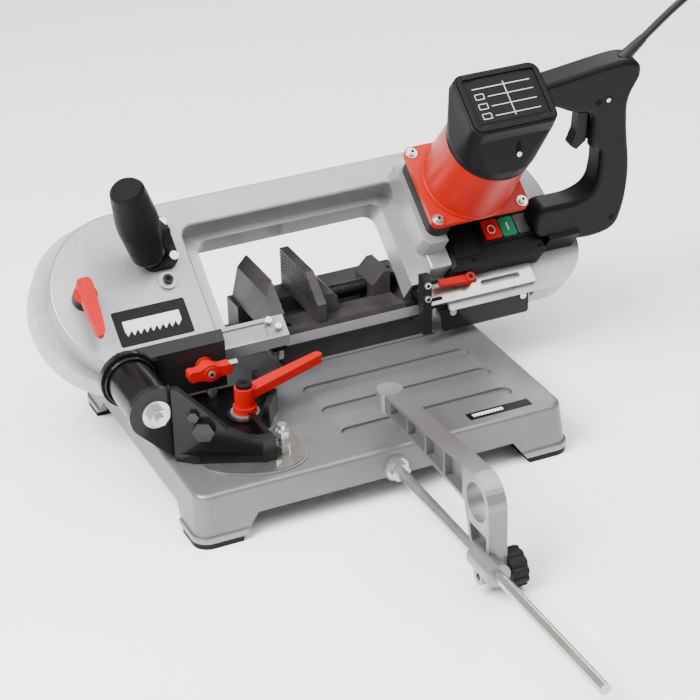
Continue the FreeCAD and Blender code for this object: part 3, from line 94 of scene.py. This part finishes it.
def material(name, color, metallic=0.0, rough=0.4, vary=0.06, grain=900.0, bump=0.05, coat=0.0,
             stretch=(1, 1, 1), tone=0.05, edge=0.0, specular=0.5):
    """Painted, plastic or metal surface with grain, uneven gloss and slightly uneven colour."""
    color = [c * SHADE for c in color]
    mat = bpy.data.materials.new(name)
    mat.use_nodes = True
    nt = mat.node_tree
    bsdf = nt.nodes["Principled BSDF"]
    bsdf.inputs["Metallic"].default_value = metallic
    bsdf.inputs["Coat Weight"].default_value = coat
    bsdf.inputs["Coat Roughness"].default_value = 0.15
    bsdf.inputs["Specular IOR Level"].default_value = specular

    patches = noise(nt, 14.0, 5.0, stretch)
    nt.links.new(ramp(nt, patches, 0.3, 0.7, rough - vary / 2, rough + vary / 2), bsdf.inputs["Roughness"])

    mix = nt.nodes.new("ShaderNodeMix")
    mix.data_type = "RGBA"
    mix.inputs["A"].default_value = [c * (1 - tone) for c in color] + [1.0]
    mix.inputs["B"].default_value = [min(1.0, c * (1 + tone)) for c in color] + [1.0]
    nt.links.new(ramp(nt, noise(nt, 40.0, 6.0, stretch), 0.3, 0.7, 0.0, 1.0), mix.inputs["Factor"])
    result = mix.outputs["Result"]
    # lighter colour on convex edges, where pointiness is high
    if edge:
        geometry = nt.nodes.new("ShaderNodeNewGeometry")
        lighter_edges = nt.nodes.new("ShaderNodeMix")
        lighter_edges.data_type = "RGBA"
        lighter_edges.inputs["B"].default_value = [min(1.0, c * 1.5 + 0.06) for c in color] + [1.0]
        nt.links.new(ramp(nt, geometry.outputs["Pointiness"], 0.52, 0.62, 0.0, edge), lighter_edges.inputs["Factor"])
        nt.links.new(result, lighter_edges.inputs["A"])
        result = lighter_edges.outputs["Result"]
    nt.links.new(result, bsdf.inputs["Base Color"])

    bumper = nt.nodes.new("ShaderNodeBump")
    bumper.inputs["Strength"].default_value = bump
    bumper.inputs["Distance"].default_value = 0.0004
    nt.links.new(noise(nt, grain, 3.0, stretch), bumper.inputs["Height"])
    nt.links.new(bumper.outputs["Normal"], bsdf.inputs["Normal"])
    return mat


SHADE = 0.36                    # darkens every colour, since the lights are strong enough for a white floor
M = {
    "base_paint": material("base_paint", (0.36, 0.37, 0.385), 0.5, 0.36, 0.05, 1500, 0.22, edge=0.6, tone=0.04),
    "bow_paint": material("bow_paint", (0.72, 0.725, 0.735), 0.5, 0.36, 0.05, 1500, 0.18, edge=0.6, tone=0.03),
    "black_paint": material("black_paint", (0.010, 0.009, 0.009), 0.0, 0.16, 0.10, 420, 0.12, coat=0.05,
                            edge=0.15, specular=0.14),
    "rubber": material("rubber", (0.010, 0.010, 0.010), 0.0, 0.62, 0.1, 700, 0.2, specular=0.2),
    "dark_iron": material("dark_iron", (0.055, 0.050, 0.047), 0.15, 0.48, 0.2, 500, 0.45, tone=0.35, edge=0.15,
                          specular=0.3),
    "dark_steel": material("dark_steel", (0.09, 0.09, 0.095), 0.9, 0.35, 0.15, 600, 0.1, tone=0.2),
    "black_plastic": material("black_plastic", (0.012, 0.012, 0.013), 0.0, 0.42, 0.08, 1300, 0.22, edge=0.1,
                              specular=0.1),
    "steel": material("steel", (1.2, 1.17, 1.08), 0.85, 0.24, 0.12, 500, 0.06, tone=0.12),
    "plate_steel": material("plate_steel", (0.85, 0.82, 0.77), 0.9, 0.28, 0.10, 500, 0.05, tone=0.2),
    "zinc": material("zinc", (1.4, 1.38, 1.32), 0.85, 0.22, 0.10, 500, 0.05, tone=0.1),
    "blade_steel": material("blade_steel", (1.1, 1.08, 1.02), 0.75, 0.42, 0.14, 700, 0.10, stretch=(0.15, 2, 2)),
    "alloy": material("alloy", (0.50, 0.50, 0.51), 0.75, 0.40, 0.10, 900, 0.18, edge=0.5),
    "red_plastic": material("red_plastic", (0.95, 0.008, 0.006), 0.0, 0.42, 0.06, 900, 0.05, specular=0.14),
    "red_paint": material("red_paint", (0.95, 0.018, 0.006), 0.0, 0.32, 0.06, 1300, 0.14, tone=0.03, specular=0.2),
    "stop_red": material("stop_red", (1.3, 0.015, 0.015), 0.0, 0.3, 0.06, 900, 0.03, specular=0.15),
    "start_green": material("start_green", (0.006, 0.45, 0.18), 0.0, 0.3, 0.06, 900, 0.03, specular=0.12),
    "smoke_lamp": material("smoke_lamp", (0.16, 0.155, 0.16), 0.0, 0.2, 0.06, 900, 0.02, specular=0.4),
    "cord_rubber": material("cord_rubber", (0.014, 0.014, 0.014), 0.0, 0.45, 0.1, 900, 0.12, specular=0.35),
    "symbol_white": material("symbol_white", (1.5, 1.5, 1.5), 0.0, 0.4, 0.05, 900, 0.02, tone=0.01),
    "label_black": material("label_black", (0.006, 0.006, 0.007), 0.0, 0.35, 0.04, 900, 0.02, specular=0.12),
    # painted shade: near-black colour for thin sheets that stand in for the shade inside holes, sockets and
    # recesses
    "painted_hole_shade": material("painted_hole_shade", (0.003, 0.003, 0.003), 0.0, 0.7, 0.1, 900, 0.02, specular=0.1),
}


# ---- geometry helpers, in millimetres inside a local frame ----
def piece(name, bm, place, mat, body, bevel=0.0, smooth=35.0):
    """Object from a mesh drawn in millimetres in the frame of place, riding on a body."""
    mesh = bpy.data.meshes.new(name)
    bmesh.ops.scale(bm, vec=(MM, MM, MM), verts=bm.verts)
    bmesh.ops.transform(bm, matrix=place, verts=bm.verts)
    bm.to_mesh(mesh)
    bm.free()
    obj = bpy.data.objects.new(name, mesh)
    bpy.context.scene.collection.objects.link(obj)
    mesh.materials.append(M[mat])
    finish_edges(obj, bevel, smooth)
    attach(obj, body)
    return obj


def finish_edges(obj, bevel, smooth=35.0):
    """Soft edges and smooth shading that follows the angle between faces."""
    mesh = obj.data
    if obj.name not in nodes:
        for polygon in mesh.polygons:
            polygon.use_smooth = True
        mesh.set_sharp_from_angle(angle=math.radians(smooth))
    if bevel:
        mod = obj.modifiers.new("bevel", "BEVEL")
        mod.width = bevel * MM
        mod.segments = 2
        mod.limit_method = "ANGLE"
        mod.angle_limit = math.radians(38)
        mod.use_clamp_overlap = True
        mod.harden_normals = True


def add_block(bm, x0, x1, y0, y1, z0, z1):
    ret = bmesh.ops.create_cube(bm, size=1.0)
    for v in ret["verts"]:
        v.co = Vector((x0 + (v.co.x + 0.5) * (x1 - x0), y0 + (v.co.y + 0.5) * (y1 - y0),
                       z0 + (v.co.z + 0.5) * (z1 - z0)))
    return ret["verts"]


def add_rod(bm, start, end, r, r_end=None, sides=40):
    start, end = Vector(start), Vector(end)
    run = end - start
    turn = Vector((0, 0, 1)).rotation_difference(run).to_matrix().to_4x4()
    bmesh.ops.create_cone(bm, cap_ends=True, cap_tris=False, segments=sides, radius1=r,
                          radius2=r if r_end is None else r_end, depth=run.length,
                          matrix=Matrix.Translation((start + end) / 2) @ turn)


def add_prism(bm, points, depth):
    """Prism of an outline, closed at both ends."""
    low = [bm.verts.new(p) for p in points]
    high = [bm.verts.new(Vector(p) + Vector(depth)) for p in points]
    count = len(points)
    bm.faces.new(low)
    bm.faces.new(high[::-1])
    for i in range(count):
        j = (i + 1) % count
        bm.faces.new((low[j], low[i], high[i], high[j]))
    bmesh.ops.recalc_face_normals(bm, faces=bm.faces)


def rounded_outline(x0, x1, y0, y1, r, z, steps=6):
    """Corner points of a rectangle with round corners, at height z."""
    points = []
    for cx, cy, start in ((x1 - r, y1 - r, 0), (x0 + r, y1 - r, 90), (x0 + r, y0 + r, 180), (x1 - r, y0 + r, 270)):
        for k in range(steps + 1):
            a = math.radians(start + 90 * k / steps)
            points.append((cx + r * math.cos(a), cy + r * math.sin(a), z))
    return points


def plate(name, x0, x1, y0, y1, z0, z1, r, place, mat, body, bevel=0.3):
    """Flat plate with round corners."""
    bm = bmesh.new()
    add_prism(bm, rounded_outline(x0, x1, y0, y1, r, z0), (0, 0, z1 - z0))
    return piece(name, bm, place, mat, body, bevel)


def button_head(name, start, end, r, place, mat, body, bevel=0.5, socket=0.0):
    """Round head or washer, with a hexagonal socket if one is asked for; the socket is a thin dark hex sheet of
    painted shade on the head, not a hollow.
    """
    bm = bmesh.new()
    add_rod(bm, start, end, r)
    obj = piece(name, bm, place, mat, body, bevel)
    if socket:
        bm = bmesh.new()
        run = (Vector(end) - Vector(start)).normalized()
        # socket: dark hex sheet standing 0.15 mm proud of the head, painted shade in place of a hollow
        add_rod(bm, Vector(end) - run * 0.2, Vector(end) + run * 0.15, socket, sides=6)
        piece(name + "_socket", bm, place, "painted_hole_shade", body)
    return obj


# ---- camera ----
def make_camera():
    """Camera at the angle of the reference view, with its focal length for a 36 mm sensor."""
    azimuth, elevation, roll = math.radians(-24.0), math.radians(28.4), math.radians(-1.8)
    data = bpy.data.cameras.new("camera")
    data.lens = 2231.0 / 700.0 * 36.0
    data.sensor_width = 36.0
    camera = bpy.data.objects.new("camera", data)
    bpy.context.scene.collection.objects.link(camera)
    turn = Matrix.Rotation(azimuth, 4, "Z") @ Matrix.Rotation(math.pi / 2 - elevation, 4, "X")
    camera.matrix_world = Matrix.Translation((-0.85595, -2.00895, 1.27567)) @ turn @ Matrix.Rotation(roll, 4, "Z")
    bpy.context.scene.camera = camera


make_camera()

# ---- power cord ----
CORD_ROUTE = [(412.6, 8.3, 385.2), (467.0, 32.6, 405.0), (540.0, 66.0, 419.0), (609.0, 103.0, 397.0),
              (645.0, 132.0, 325.0), (652.0, 150.0, 240.0), (643.0, 158.0, 158.0), (622.0, 152.0, 86.0),
              (604.0, 120.0, 42.0), (598.0, 82.0, 32.0), (598.0, 48.0, 31.5)]
CORD_D = 9.0
COIL_X, COIL_Y = 650.0, 40.0
COIL_LANES = [(52, 31.5), (43, 31.5), (43, 22.5), (52, 22.5), (61, 22.5), (52, 13.5), (43, 13.5), (43, 4.7),
              (52, 4.7), (61, 4.7), (61.5, 13.6), (61.5, 13.8)]
COIL_TURNS = 10.25
POINTS_PER_TURN = 16


def coil_points():
    """Points of the put-away coil: each turn keeps to a lane (radius, height), then moves to the next."""
    points = []
    count = int(COIL_TURNS * POINTS_PER_TURN)
    for k in range(1, count + 1):
        turn = k / POINTS_PER_TURN
        lane = int(turn)
        part = min(max((turn - lane - 0.55) / 0.45, 0.0), 1.0)
        part = part * part * (3 - 2 * part)
        r = COIL_LANES[lane][0] * (1 - part) + COIL_LANES[lane + 1][0] * part
        z = COIL_LANES[lane][1] * (1 - part) + COIL_LANES[lane + 1][1] * part
        angle = math.pi + 2 * math.pi * turn
        points.append((COIL_X + r * math.cos(angle), COIL_Y + r * math.sin(angle), z))
    return points


def make_cord():
    points = CORD_ROUTE + coil_points() + [(676.0, -21.5, 13.9), (690.0, -21.5, 14.0), (702.0, -21.5, 14.0)]
    curve = bpy.data.curves.new("cord", "CURVE")
    curve.dimensions = "3D"
    spline = curve.splines.new("NURBS")
    spline.points.add(len(points) - 1)
    for point, place in zip(spline.points, points):
        point.co = (place[0] * MM, place[1] * MM, place[2] * MM, 1.0)
    spline.order_u = 3
    spline.use_endpoint_u = True
    spline.resolution_u = 6
    curve.bevel_depth = CORD_D / 2 * MM
    curve.bevel_resolution = 6
    curve.materials.append(M["cord_rubber"])
    cord = bpy.data.objects.new("cord", curve)
    bpy.context.scene.collection.objects.link(cord)
    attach(cord, "bow")
    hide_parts("cord_tube", "cord_coil")


make_cord()

# ---- CAD nodes: materials and soft edges ----
BEVEL = {"base_casting": 1.2, "bow_casting": 1.0, "rear_cover": 0.6, "swivel_arm": 1.6, "hinge_bracket": 1.5,
         "vise_bed": 0.8, "fixed_jaw": 0.5, "moving_jaw": 0.25, "jaw_carriage": 1.0, "vise_nut_block": 1.2,
         "stop_arm": 1.2, "stop_knob": 1.0, "clamp_lever": 1.6, "tension_lever": 1.6, "right_guide_lever": 1.2,
         "wing_knob": 1.5, "motor_spacer": 1.0, "motor_housing": 1.2, "motor_cap": 1.5, "switch_box": 1.0,
         "d_handle": 2.5, "trigger": 1.5, "front_handle_base": 1.5, "front_grip": 1.5, "right_guide_plate": 0.8,
         "right_guide_block": 0.8, "left_guide_block": 0.8, "left_guide_arm": 1.2, "blade_guard": 0.5,
         "rubber_feet": 1.2, "bow_screws": 0.8, "right_guide_stud": 0.5, "stop_stud": 0.5, "hinge_nut": 0.8,
         "stop_rod_nuts": 0.8, "arm_wall_bolts": 0.8, "stop_button": 0.7, "start_button": 0.7, "pilot_lamp": 0.9,
         "pivot_stud": 0.5, "hinge_bolt": 0.8, "stop_rod": 0.8, "scale_plate": 0.2, "strain_relief": 0.4,
         "plug": 1.0, "down_stop_bolt": 0.4}

OWN_FINISH = {"scale_plate": "plate_steel"}
for part in frame["record"]["subparts"]:
    obj = nodes[part["node"]]
    if not obj.material_slots:
        continue
    for slot in obj.material_slots:
        slot.material = M[OWN_FINISH.get(part["node"], part["material_slot"])]
    if part["node"] in BEVEL:
        finish_edges(obj, BEVEL[part["node"]])


# ---- saw blade with teeth ----
def blade_stations(step=1.5):
    """Centre line of the loop in the bow frame with the blade's lean: (x, w, outward direction, lean)."""
    xl, xr, r, wheel_w = WHEEL_XL, WHEEL_XR, LOOP_R, WHEEL_W
    stations = []
    length = xr - xl
    lean_left, lean_right = (-168.0, -100.0), (170.0, 220.0)
    count = int(length / step)
    for k in range(count):
        x = xl + length * k / count
        rise = min(max((x - lean_left[0]) / (lean_left[1] - lean_left[0]), 0.0), 1.0)
        fall = min(max((lean_right[1] - x) / (lean_right[1] - lean_right[0]), 0.0), 1.0)
        stations.append((x, 0.0, Vector((0, -1, 0)), min(rise, fall)))
    arc = int(math.pi * r / step)
    for k in range(arc):
        a = -math.pi / 2 + math.pi * k / arc
        out = Vector((math.cos(a), math.sin(a), 0))
        stations.append((xr + r * out.x, wheel_w + r * out.y, out, 0.0))
    for k in range(count):
        stations.append((xr - length * k / count, wheel_w + r, Vector((0, 1, 0)), 0.0))
    for k in range(arc):
        a = math.pi / 2 + math.pi * k / arc
        out = Vector((math.cos(a), math.sin(a), 0))
        stations.append((xl + r * out.x, wheel_w + r * out.y, out, 0.0))
    return stations


def make_blade():
    """The toothed edge is the lower one in the cut: every second station steps in to make a tooth."""
    bm = bmesh.new()
    rings = []
    for k, (x, w, out, lean) in enumerate(blade_stations()):
        low = -BLADE_HALF + (0.0 if k % 2 else TOOTH)
        turn = Matrix.Rotation(-lean * TILT, 3, "X")
        corners = []
        for h, t in ((BLADE_HALF, BLADE_HALF_THICK), (BLADE_HALF, -BLADE_HALF_THICK),
                     (low, -BLADE_HALF_THICK), (low, BLADE_HALF_THICK)):
            offset = turn @ (Vector((0, 0, h)) + out * t)
            corners.append(bm.verts.new(Vector((x, w, 0)) + offset))
        rings.append(corners)
    for first, second in zip(rings, rings[1:] + rings[:1]):
        for i in range(4):
            j = (i + 1) % 4
            bm.faces.new((first[i], first[j], second[j], second[i]))
    bmesh.ops.recalc_face_normals(bm, faces=bm.faces)
    blade = piece("blade_loop", bm, BOW, "blade_steel", "bow", smooth=25.0)
    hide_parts("saw_blade")


# ---- vise screw thread ----
def make_vise_screw():
    x0, x1, pitch, outer, root = 54.0, 223.8, 3.0, 8.95, 7.7
    profile = [(35.6, 0.0), (35.6, 9.9), (41.4, 9.9), (41.4, 5.95), (53.7, 5.95), (53.7, root)]
    x = x0
    while x + pitch < x1:
        profile += [(x + 0.4, root), (x + 1.2, outer), (x + 1.8, outer), (x + 2.6, root)]
        x += pitch
    profile += [(x1, root), (x1, 5.95), (242.8, 5.95), (242.8, 0.0)]
    bm = bmesh.new()
    verts = [bm.verts.new((px, pr, 0)) for px, pr in profile]
    edges = [bm.edges.new(pair) for pair in zip(verts, verts[1:])]
    bmesh.ops.spin(bm, geom=verts + edges, cent=(0, 0, 0), axis=(1, 0, 0), angle=2 * math.pi, steps=36,
                   use_duplicate=False)
    bmesh.ops.remove_doubles(bm, verts=bm.verts, dist=0.01)
    bmesh.ops.recalc_face_normals(bm, faces=bm.faces)
    screw = piece("vise_screw_thread", bm, Matrix.Translation((0, 0.101, 0.108)), "dark_steel", "vise_screw")
    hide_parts("vise_screw")


# ---- labels, caps and small screws ----
def make_labels():
    plate("bow_label", -222, -138, 18, 60, PLATEAU_H, PLATEAU_H + 0.7, 2.5, BOW, "label_black", "bow")
    plate("base_label", 107, 183, -161, -147, 60.0, 60.5, 1.5, WORLD, "label_black", "base")
    saw_sign("bow_sign", -213, -148, 29, 47, PLATEAU_H + 0.6, PLATEAU_H + 0.85, BOW, "bow")
    saw_sign("base_sign", 113, 150, -157.5, -151, 60.4, 60.65, WORLD, "base")
    plate("cap_label", MOTOR_X - 33, MOTOR_X + 45, MOTOR_W - 8, MOTOR_W + 43, MOTOR_TOP_H - 0.5,
          MOTOR_TOP_H + 0.6, 2.5, BOW, "label_black", "bow")


def saw_sign(name, x0, x1, y0, y1, z0, z1, place, body):
    """White bar with saw teeth along its lower edge, in place of any lettering."""
    count, tooth = 9, (y1 - y0) * 0.35
    step = (x1 - x0) / count
    points = [(x1, y1, z0), (x0, y1, z0)]
    for k in range(count):
        points += [(x0 + step * k, y0 + tooth, z0), (x0 + step * (k + 0.25), y0, z0)]
    points.append((x1, y0 + tooth, z0))
    bm = bmesh.new()
    add_prism(bm, points, (0, 0, z1 - z0))
    piece(name, bm, place, "symbol_white", body)


def frame_rim(name, x0, x1, y0, y1, wide, z0, z1, r, place, mat, body, bevel=0.4):
    """Raised rim of a given width round a rounded rectangle."""
    outer = rounded_outline(x0, x1, y0, y1, r, z0)
    inner = rounded_outline(x0 + wide, x1 - wide, y0 + wide, y1 - wide, max(r - wide, 0.5), z0)
    bm = bmesh.new()
    rows = []
    for outline, z in ((outer, z0), (outer, z1), (inner, z1), (inner, z0)):
        rows.append([bm.verts.new((p[0], p[1], z)) for p in outline])
    for first, second in zip(rows, rows[1:] + rows[:1]):
        for i in range(len(first)):
            j = (i + 1) % len(first)
            bm.faces.new((first[i], first[j], second[j], second[i]))
    bmesh.ops.recalc_face_normals(bm, faces=bm.faces)
    return piece(name, bm, place, mat, body, bevel)


def make_motor_details():
    x, w, top = MOTOR_X, MOTOR_W, MOTOR_TOP_H
    frame_rim("cap_rim", x - 43, x + 55, w - 17, w + 52, 5.0, top - 0.6, top + 2.2, 9.0, BOW, "black_plastic",
              "bow")
    for index, (sx, sw) in enumerate(((-30, -14), (42, -14), (-30, 49), (42, 49))):
        plate("cap_clip_%d" % index, x + sx - 6, x + sx + 6, w + sw - 2.5, w + sw + 2.5, top + 1.0, top + 2.9, 1.0,
              BOW, "black_plastic", "bow")
    bm = bmesh.new()
    add_rod(bm, (x, w, 108.4), (x, w, 112.0), 54.3, 53.4, sides=96)
    piece("motor_foot_ring", bm, BOW, "red_paint", "bow", 0.8)
    bm = bmesh.new()
    add_rod(bm, (x, w, 194.6), (x, w, 196.4), 50.9, sides=96)
    piece("motor_joint_ring", bm, BOW, "black_plastic", "bow", 0.4)
    for index, (sx, sw) in enumerate(((-53, -43), (53, -43), (-53, 43), (53, 43))):
        button_head("motor_screw_face_%d" % index, (x + sx, w + sw, 111.9), (x + sx, w + sw, 113.0), 3.4, BOW,
                    "zinc", "bow", 0.3, 1.9)
        bm = bmesh.new()
        add_rod(bm, (x + sx, w + sw, 108.0), (x + sx, w + sw, 109.2), 6.8)
        piece("motor_washer_%d" % index, bm, BOW, "zinc", "bow", 0.3)


def make_cap_recess():
    """Drop-shaped recess in the cap's sloping front with a screw at its foot; the recess is a thin dark
    drop-shaped sheet of painted shade set into the surface, not a hollow.
    """
    low, high = CAP_LOW, CAP_LOW + CAP_UP * 11.0
    points = []
    for k in range(24):
        a = 2 * math.pi * k / 24
        centre, width = (low, 4.2) if math.sin(a) < 0 else (high, 2.6)
        side = Vector((width * math.cos(a), 0, 0))
        points.append(tuple(centre + side + CAP_UP * (4.0 * math.sin(a)) - CAP_OUT * 0.8))
    bm = bmesh.new()
    # dark drop-shaped sheet, 1.2 mm thick, of painted shade for the recess
    add_prism(bm, points, tuple(CAP_OUT * 1.2))
    piece("cap_recess", bm, BOW, "painted_hole_shade", "bow")
    button_head("cap_screw", tuple(low + CAP_OUT * 0.3), tuple(low + CAP_OUT * 1.2), 3.2, BOW, "zinc", "bow", 0.4)


def make_cap_rules():
    """Rules of a blank rating table on the motor cap."""
    x, w, h0, h1 = MOTOR_X, MOTOR_W, MOTOR_TOP_H + 0.5, MOTOR_TOP_H + 0.75
    plate("cap_rule_head", x - 29, x + 41, w + 34, w + 34.8, h0, h1, 0.2, BOW, "symbol_white", "bow", 0.0)
    plate("cap_rule_split", x + 9, x + 9.8, w - 4, w + 38, h0, h1, 0.2, BOW, "symbol_white", "bow", 0.0)
    for index in range(3):
        low = w + 12 * index - 1
        plate("cap_rule_%d" % index, x - 14, x + 41, low, low + 0.7, h0, h1, 0.2, BOW, "symbol_white", "bow", 0.0)
        frame_rim("cap_mark_%d" % index, x - 29, x - 18, low - 2, low + 5, 0.7, h0, h1, 1.0, BOW, "symbol_white",
                  "bow", 0.0)


def make_switch_details():
    ring = bpy.data.curves.new("stop_ring", "CURVE")
    ring.dimensions = "3D"
    spline = ring.splines.new("NURBS")
    spline.points.add(15)
    for k, point in enumerate(spline.points):
        a = 2 * math.pi * k / 16
        place = BOW @ Vector(((238.7 + 4.4 * math.cos(a)) * MM, (55 + 5.0 * math.sin(a)) * MM, 54.1 * MM))
        point.co = (place.x, place.y, place.z, 1.0)
    spline.order_u = 3
    spline.use_cyclic_u = True
    ring.bevel_depth = 0.00055
    ring.materials.append(M["symbol_white"])
    ring_obj = bpy.data.objects.new("stop_ring", ring)
    bpy.context.scene.collection.objects.link(ring_obj)
    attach(ring_obj, "stop_button")
    plate("start_bar", 259.3, 260.7, 50, 60, 52.9, 53.4, 0.4, BOW, "symbol_white", "start_button", 0.0)
    plate("lamp_window", 273.5, 285.5, 45.5, 64.5, 52.8, 53.5, 2.0, BOW, "smoke_lamp", "bow")
    frame_rim("button_frame", 224, 293, 39.5, 70, 2.4, 52.3, 54.2, 2.5, BOW, "black_plastic", "bow")
    plate("box_step", 186, 216, 30, 70, 49.6, 52.0, 2.0, BOW, "black_plastic", "bow", 0.6)
    # dark discs of painted shade for the two holes in the box top
    for index, (px, pw) in enumerate(((206.0, 24.5), (291.0, 24.5))):
        bm = bmesh.new()
        add_rod(bm, (px, pw, 49.7), (px, pw, 50.15), 2.6)
        piece("box_hole_%d" % index, bm, BOW, "painted_hole_shade", "bow")


def make_lever_details():
    button_head("clamp_cap", (PIVOT_X, PIVOT_Y, 106.2), (PIVOT_X, PIVOT_Y, 111.6), 8.7, WORLD, "black_plastic",
                "clamp_lever", 1.0, 4.0)
    button_head("right_lever_cap", (199, 10.5, 39.8), (199, 10.5, 40.6), 2.6, BOW, "black_plastic",
                "right_guide_lever", 0.3)
    bm = bmesh.new()
    add_rod(bm, (TENSION_X, TENSION_W, PLATEAU_H + 0.4), (TENSION_X, TENSION_W, PLATEAU_H + 15.9), 13.3)
    piece("tension_hub_sleeve", bm, BOW, "black_plastic", "tension_lever", 0.8)
    button_head("boss_screw", (-149, 82, 54.0), (-149, 82, 58.4), 5.8, BOW, "black_paint", "bow", 0.8, 3.0)
    button_head("wing_screw", (-136, -23.9, 112), (-136, -24.9, 112), 4.2, WORLD, "zinc", "wing_knob", 0.2, 2.0)
    bm = bmesh.new()
    add_rod(bm, (-113, -149.5, 62), (-113, -149.5, 64), 3.8)
    add_block(bm, -116.4, -109.6, -150.0, -149.0, 63.7, 64.15)
    piece("scale_screw", bm, WORLD, "zinc", "base", 0.3)
    for index, px in enumerate((-48.0, -39.0)):
        w = 17.0 - 9.0 * index
        button_head("guide_bar_screw_%d" % index, (px, w, 27.0), (px, w, 36.0), 4.8, BOW, "zinc", "left_guide",
                    1.6)
    for index, pz in enumerate((121.0, 138.0)):
        button_head("block_bolt_%d" % index, (142, 12.0, pz), (142, 8.6, pz), 4.0, WORLD, "zinc", "right_guide",
                    0.5, 2.2)


def make_grip_details():
    for index, (along, r) in enumerate(GRIP_BANDS):
        bm = bmesh.new()
        add_rod(bm, GRIP_START + GRIP_RUN * (along - 0.8), GRIP_START + GRIP_RUN * (along + 0.8), r, sides=64)
        piece("grip_band_%d" % index, bm, BOW, "black_plastic", "bow", 0.3)


def make_handle_details():
    # dark discs of painted shade for the holes in the handle
    for index, (px, pt, r) in enumerate(((345.0, 171.0, 4.0), (357.0, 172.0, 4.6), (386.0, 4.0, 3.6))):
        bm = bmesh.new()
        add_rod(bm, (px, -16.2, pt), (px, -15.5, pt), r)
        piece("handle_hole_%d" % index, bm, HANDLE, "painted_hole_shade", "bow")
    button_head("handle_screw", (357.0, -16.1, 172.0), (357.0, -16.6, 172.0), 2.8, HANDLE, "zinc", "bow", 0.2)


def make_spring():
    """Wire spring round the hinge barrel."""
    curve = bpy.data.curves.new("lift_coil", "CURVE")
    curve.dimensions = "3D"
    spline = curve.splines.new("NURBS")
    steps = 20
    spline.points.add(SPRING_TURNS * steps)
    for k, point in enumerate(spline.points):
        a = 2 * math.pi * k / steps
        x, z = HINGE_X + SPRING_R * math.cos(a), HINGE_Z + SPRING_R * math.sin(a)
        y = SPRING_Y + SPRING_LONG * k / (SPRING_TURNS * steps)
        point.co = (x * MM, y * MM, z * MM, 1.0)
    spline.order_u = 3
    curve.bevel_depth = 0.0011
    curve.materials.append(M["black_paint"])
    coil = bpy.data.objects.new("lift_coil", curve)
    bpy.context.scene.collection.objects.link(coil)
    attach(coil, "bow")
    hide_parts("lift_spring")


make_blade()
make_vise_screw()
make_labels()
make_motor_details()
make_cap_rules()
make_cap_recess()
make_switch_details()
make_lever_details()
make_grip_details()
make_handle_details()
make_spring()


# ---- floor, world and lights ----
def make_stage():
    bm = bmesh.new()
    bmesh.ops.create_grid(bm, x_segments=1, y_segments=1, size=6.0)
    mesh = bpy.data.meshes.new("floor")
    bm.to_mesh(mesh)
    bm.free()
    floor = bpy.data.objects.new("floor", mesh)
    bpy.context.scene.collection.objects.link(floor)
    mat = bpy.data.materials.new("floor")
    mat.use_nodes = True
    mat.node_tree.nodes["Principled BSDF"].inputs["Base Color"].default_value = (0.96, 0.96, 0.96, 1)
    mat.node_tree.nodes["Principled BSDF"].inputs["Roughness"].default_value = 0.6
    mesh.materials.append(mat)

    world = bpy.data.worlds.new("studio")
    world.use_nodes = True
    world.node_tree.nodes["Background"].inputs["Color"].default_value = (1.0, 1.0, 1.0, 1)
    world.node_tree.nodes["Background"].inputs["Strength"].default_value = 0.42
    bpy.context.scene.world = world


def area_light(name, place, target, size, power):
    data = bpy.data.lights.new(name, "AREA")
    data.shape = "RECTANGLE"
    data.size, data.size_y = size
    data.energy = power
    light = bpy.data.objects.new(name, data)
    light.location = place
    light.rotation_euler = (Vector(target) - Vector(place)).to_track_quat("-Z", "Y").to_euler()
    bpy.context.scene.collection.objects.link(light)


make_stage()
area_light("key", (-1.5, -0.5, 1.9), (0.0, 0.0, 0.12), (1.3, 1.3), 165.0)
area_light("top", (0.3, -0.7, 2.5), (0.0, 0.0, 0.0), (3.0, 3.0), 130.0)
area_light("rim", (1.5, 1.6, 1.9), (0.0, 0.05, 0.15), (0.6, 0.6), 25.0)
